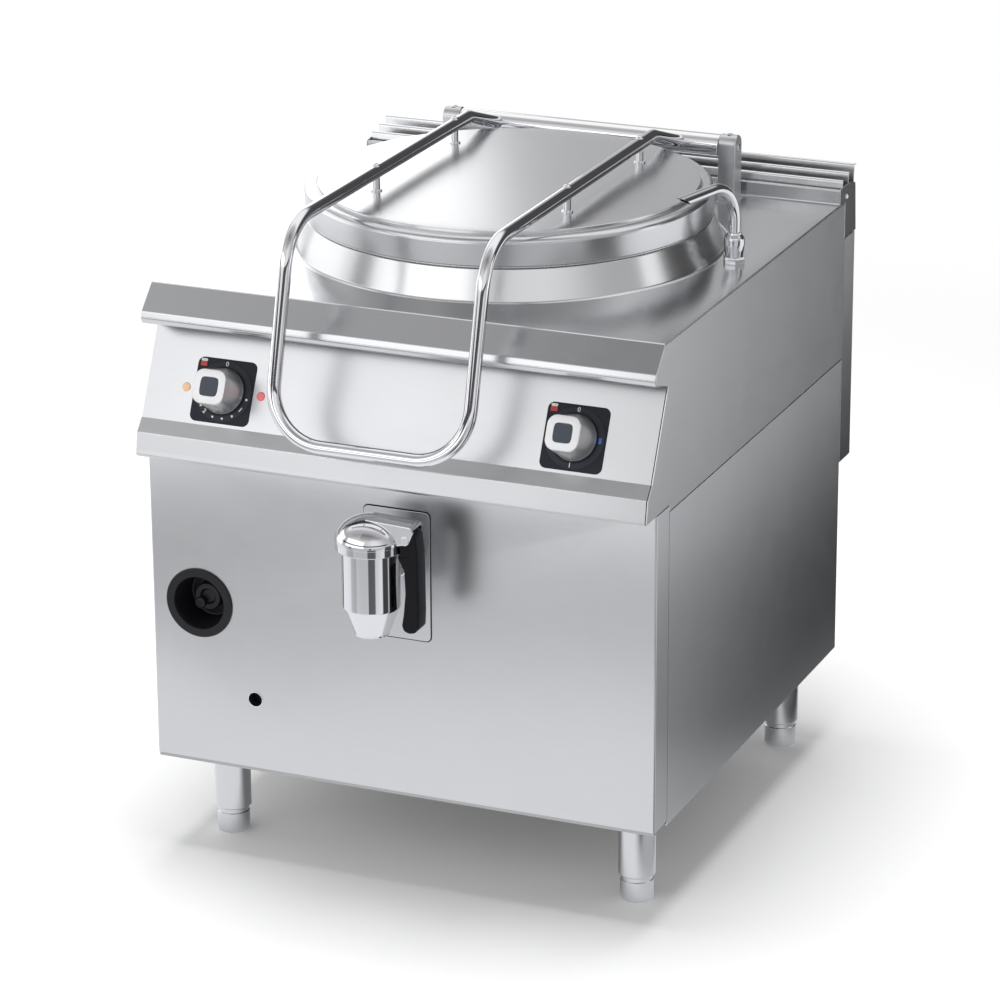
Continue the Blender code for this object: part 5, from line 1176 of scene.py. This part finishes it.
def studioWorld(s=worldSizes):
    # white to the camera; mirrors see a mid grey room, darker behind to the right, lighter in front
    # and high at the back, with a dark belt low in front
    world = bpy.data.worlds.new("studio")
    bpy.context.scene.world = world
    make = Finish(world)
    x, y, z = make.split(make.coordinates("Generated"))
    seen, mirror = make.add("ShaderNodeLightPath", output=("Is Camera Ray", "Is Glossy Ray"))
    dark = x.ramp(-0.3, -0.05) * y.ramp(0.0, 0.35) * (1.0 - z.ramp(0.45, 0.8))
    ahead = (-y).ramp(0.3, 0.7)
    aside = x.ramp(0.15, 0.5) * (-y).ramp(0.1, 0.5)
    above = z.ramp(0.62, 0.78) * (-y).ramp(0.1, 0.4) * (0.14 + 0.2 * x.ramp(-0.29, -0.19))
    behindAbove = z.ramp(0.5, 0.7) * y.ramp(-0.1, 0.2)
    belt = z.band(0.1, 0.13, 0.22, 0.25) * (-y).ramp(0.1, 0.3)
    room = (s["room"] - s["dark"] * dark + s["ahead"] * ahead + s["aside"] * aside - above
            + s["behindAbove"] * behindAbove) * (1.0 - s["belt"] * belt)
    level = seen + (1.0 - seen) * (mirror * room + (1.0 - mirror) * s["level"])
    light = make.add("ShaderNodeBackground", None, {"Color": shade((1, 1, 1)), "Strength": level})
    make.add("ShaderNodeOutputWorld", None, {"Surface": light})


# Each box: its place, what it faces, its width and height, its brightness, and whether mirrors show it
softBoxes = {"backLeftBox": ((-2.31, 2.5, 1.75), (0.0, 0.1, 0.9), 2.35, 1.8, 1.3, True),
             "leftBox": ((-3.6, 0.0, 1.25), (0.0, 0.0, 0.8), 3.0, 2.2, 0.95, True),
             "frontLowBox": ((-1.5, -3.1, 0.72), (0.0, -0.2, 0.72), 3.8, 0.8, 0.95, True),
             "frontHighBox": ((-1.55, -3.1, 2.1), (0.0, -0.2, 0.75), 3.8, 1.35, 0.95, True),
             "rightStrip": ((3.4, 0.85, 1.3), (0.0, 0.0, 0.9), 0.8, 1.6, 1.3, True),
             "topBox": ((0.0, 0.0, 3.6), (0.0, 0.0, 0.0), 2.0, 2.0, 7.9, False)}


def softBox(name, place, target, width, height, radiance, inMirrors):
    # an area lamp of a stated brightness: power = radiance * pi * area
    data = bpy.data.lights.new(name, "AREA")
    data.shape, data.size, data.size_y = "RECTANGLE", width, height
    data.energy = radiance * math.pi * width * height
    box = newObject(name, data)
    box.location = place
    box.rotation_euler = (Vector(target) - Vector(place)).to_track_quat("-Z", "Y").to_euler()
    box.visible_glossy = inMirrors


cameraSizes = {"place": (2.4402, -5.71375, 2.733), "yaw": -23.051, "pitch": 19.812, "roll": -0.32,
               "lens": 156.63, "sensor": 36.0}


def photoCamera(s=cameraSizes):
    # looks along yaw and pitch, and its own right and up are turned by roll about that line
    yaw, pitch, roll = (math.radians(s[k]) for k in ("yaw", "pitch", "roll"))
    forward = Vector((math.sin(yaw) * math.cos(pitch), math.cos(yaw) * math.cos(pitch), -math.sin(pitch)))
    level = Vector((math.cos(yaw), -math.sin(yaw), 0))
    upright = level.cross(forward)
    right = level * math.cos(roll) + upright * math.sin(roll)
    up = upright * math.cos(roll) - level * math.sin(roll)
    data = bpy.data.cameras.new("photoCamera")
    data.lens, data.sensor_width = s["lens"], s["sensor"]
    camera = newObject("photoCamera", data)
    camera.matrix_world = Matrix.Translation(s["place"]) @ Matrix((right, up, -forward)).transposed().to_4x4()
    bpy.context.scene.camera = camera


stageFloor()
studioWorld()
for boxName, values in softBoxes.items():
    softBox(boxName, *values)
photoCamera()
bpy.context.scene.view_settings.view_transform = "Standard"
print("stage made")

bpy.context.view_layer.update()
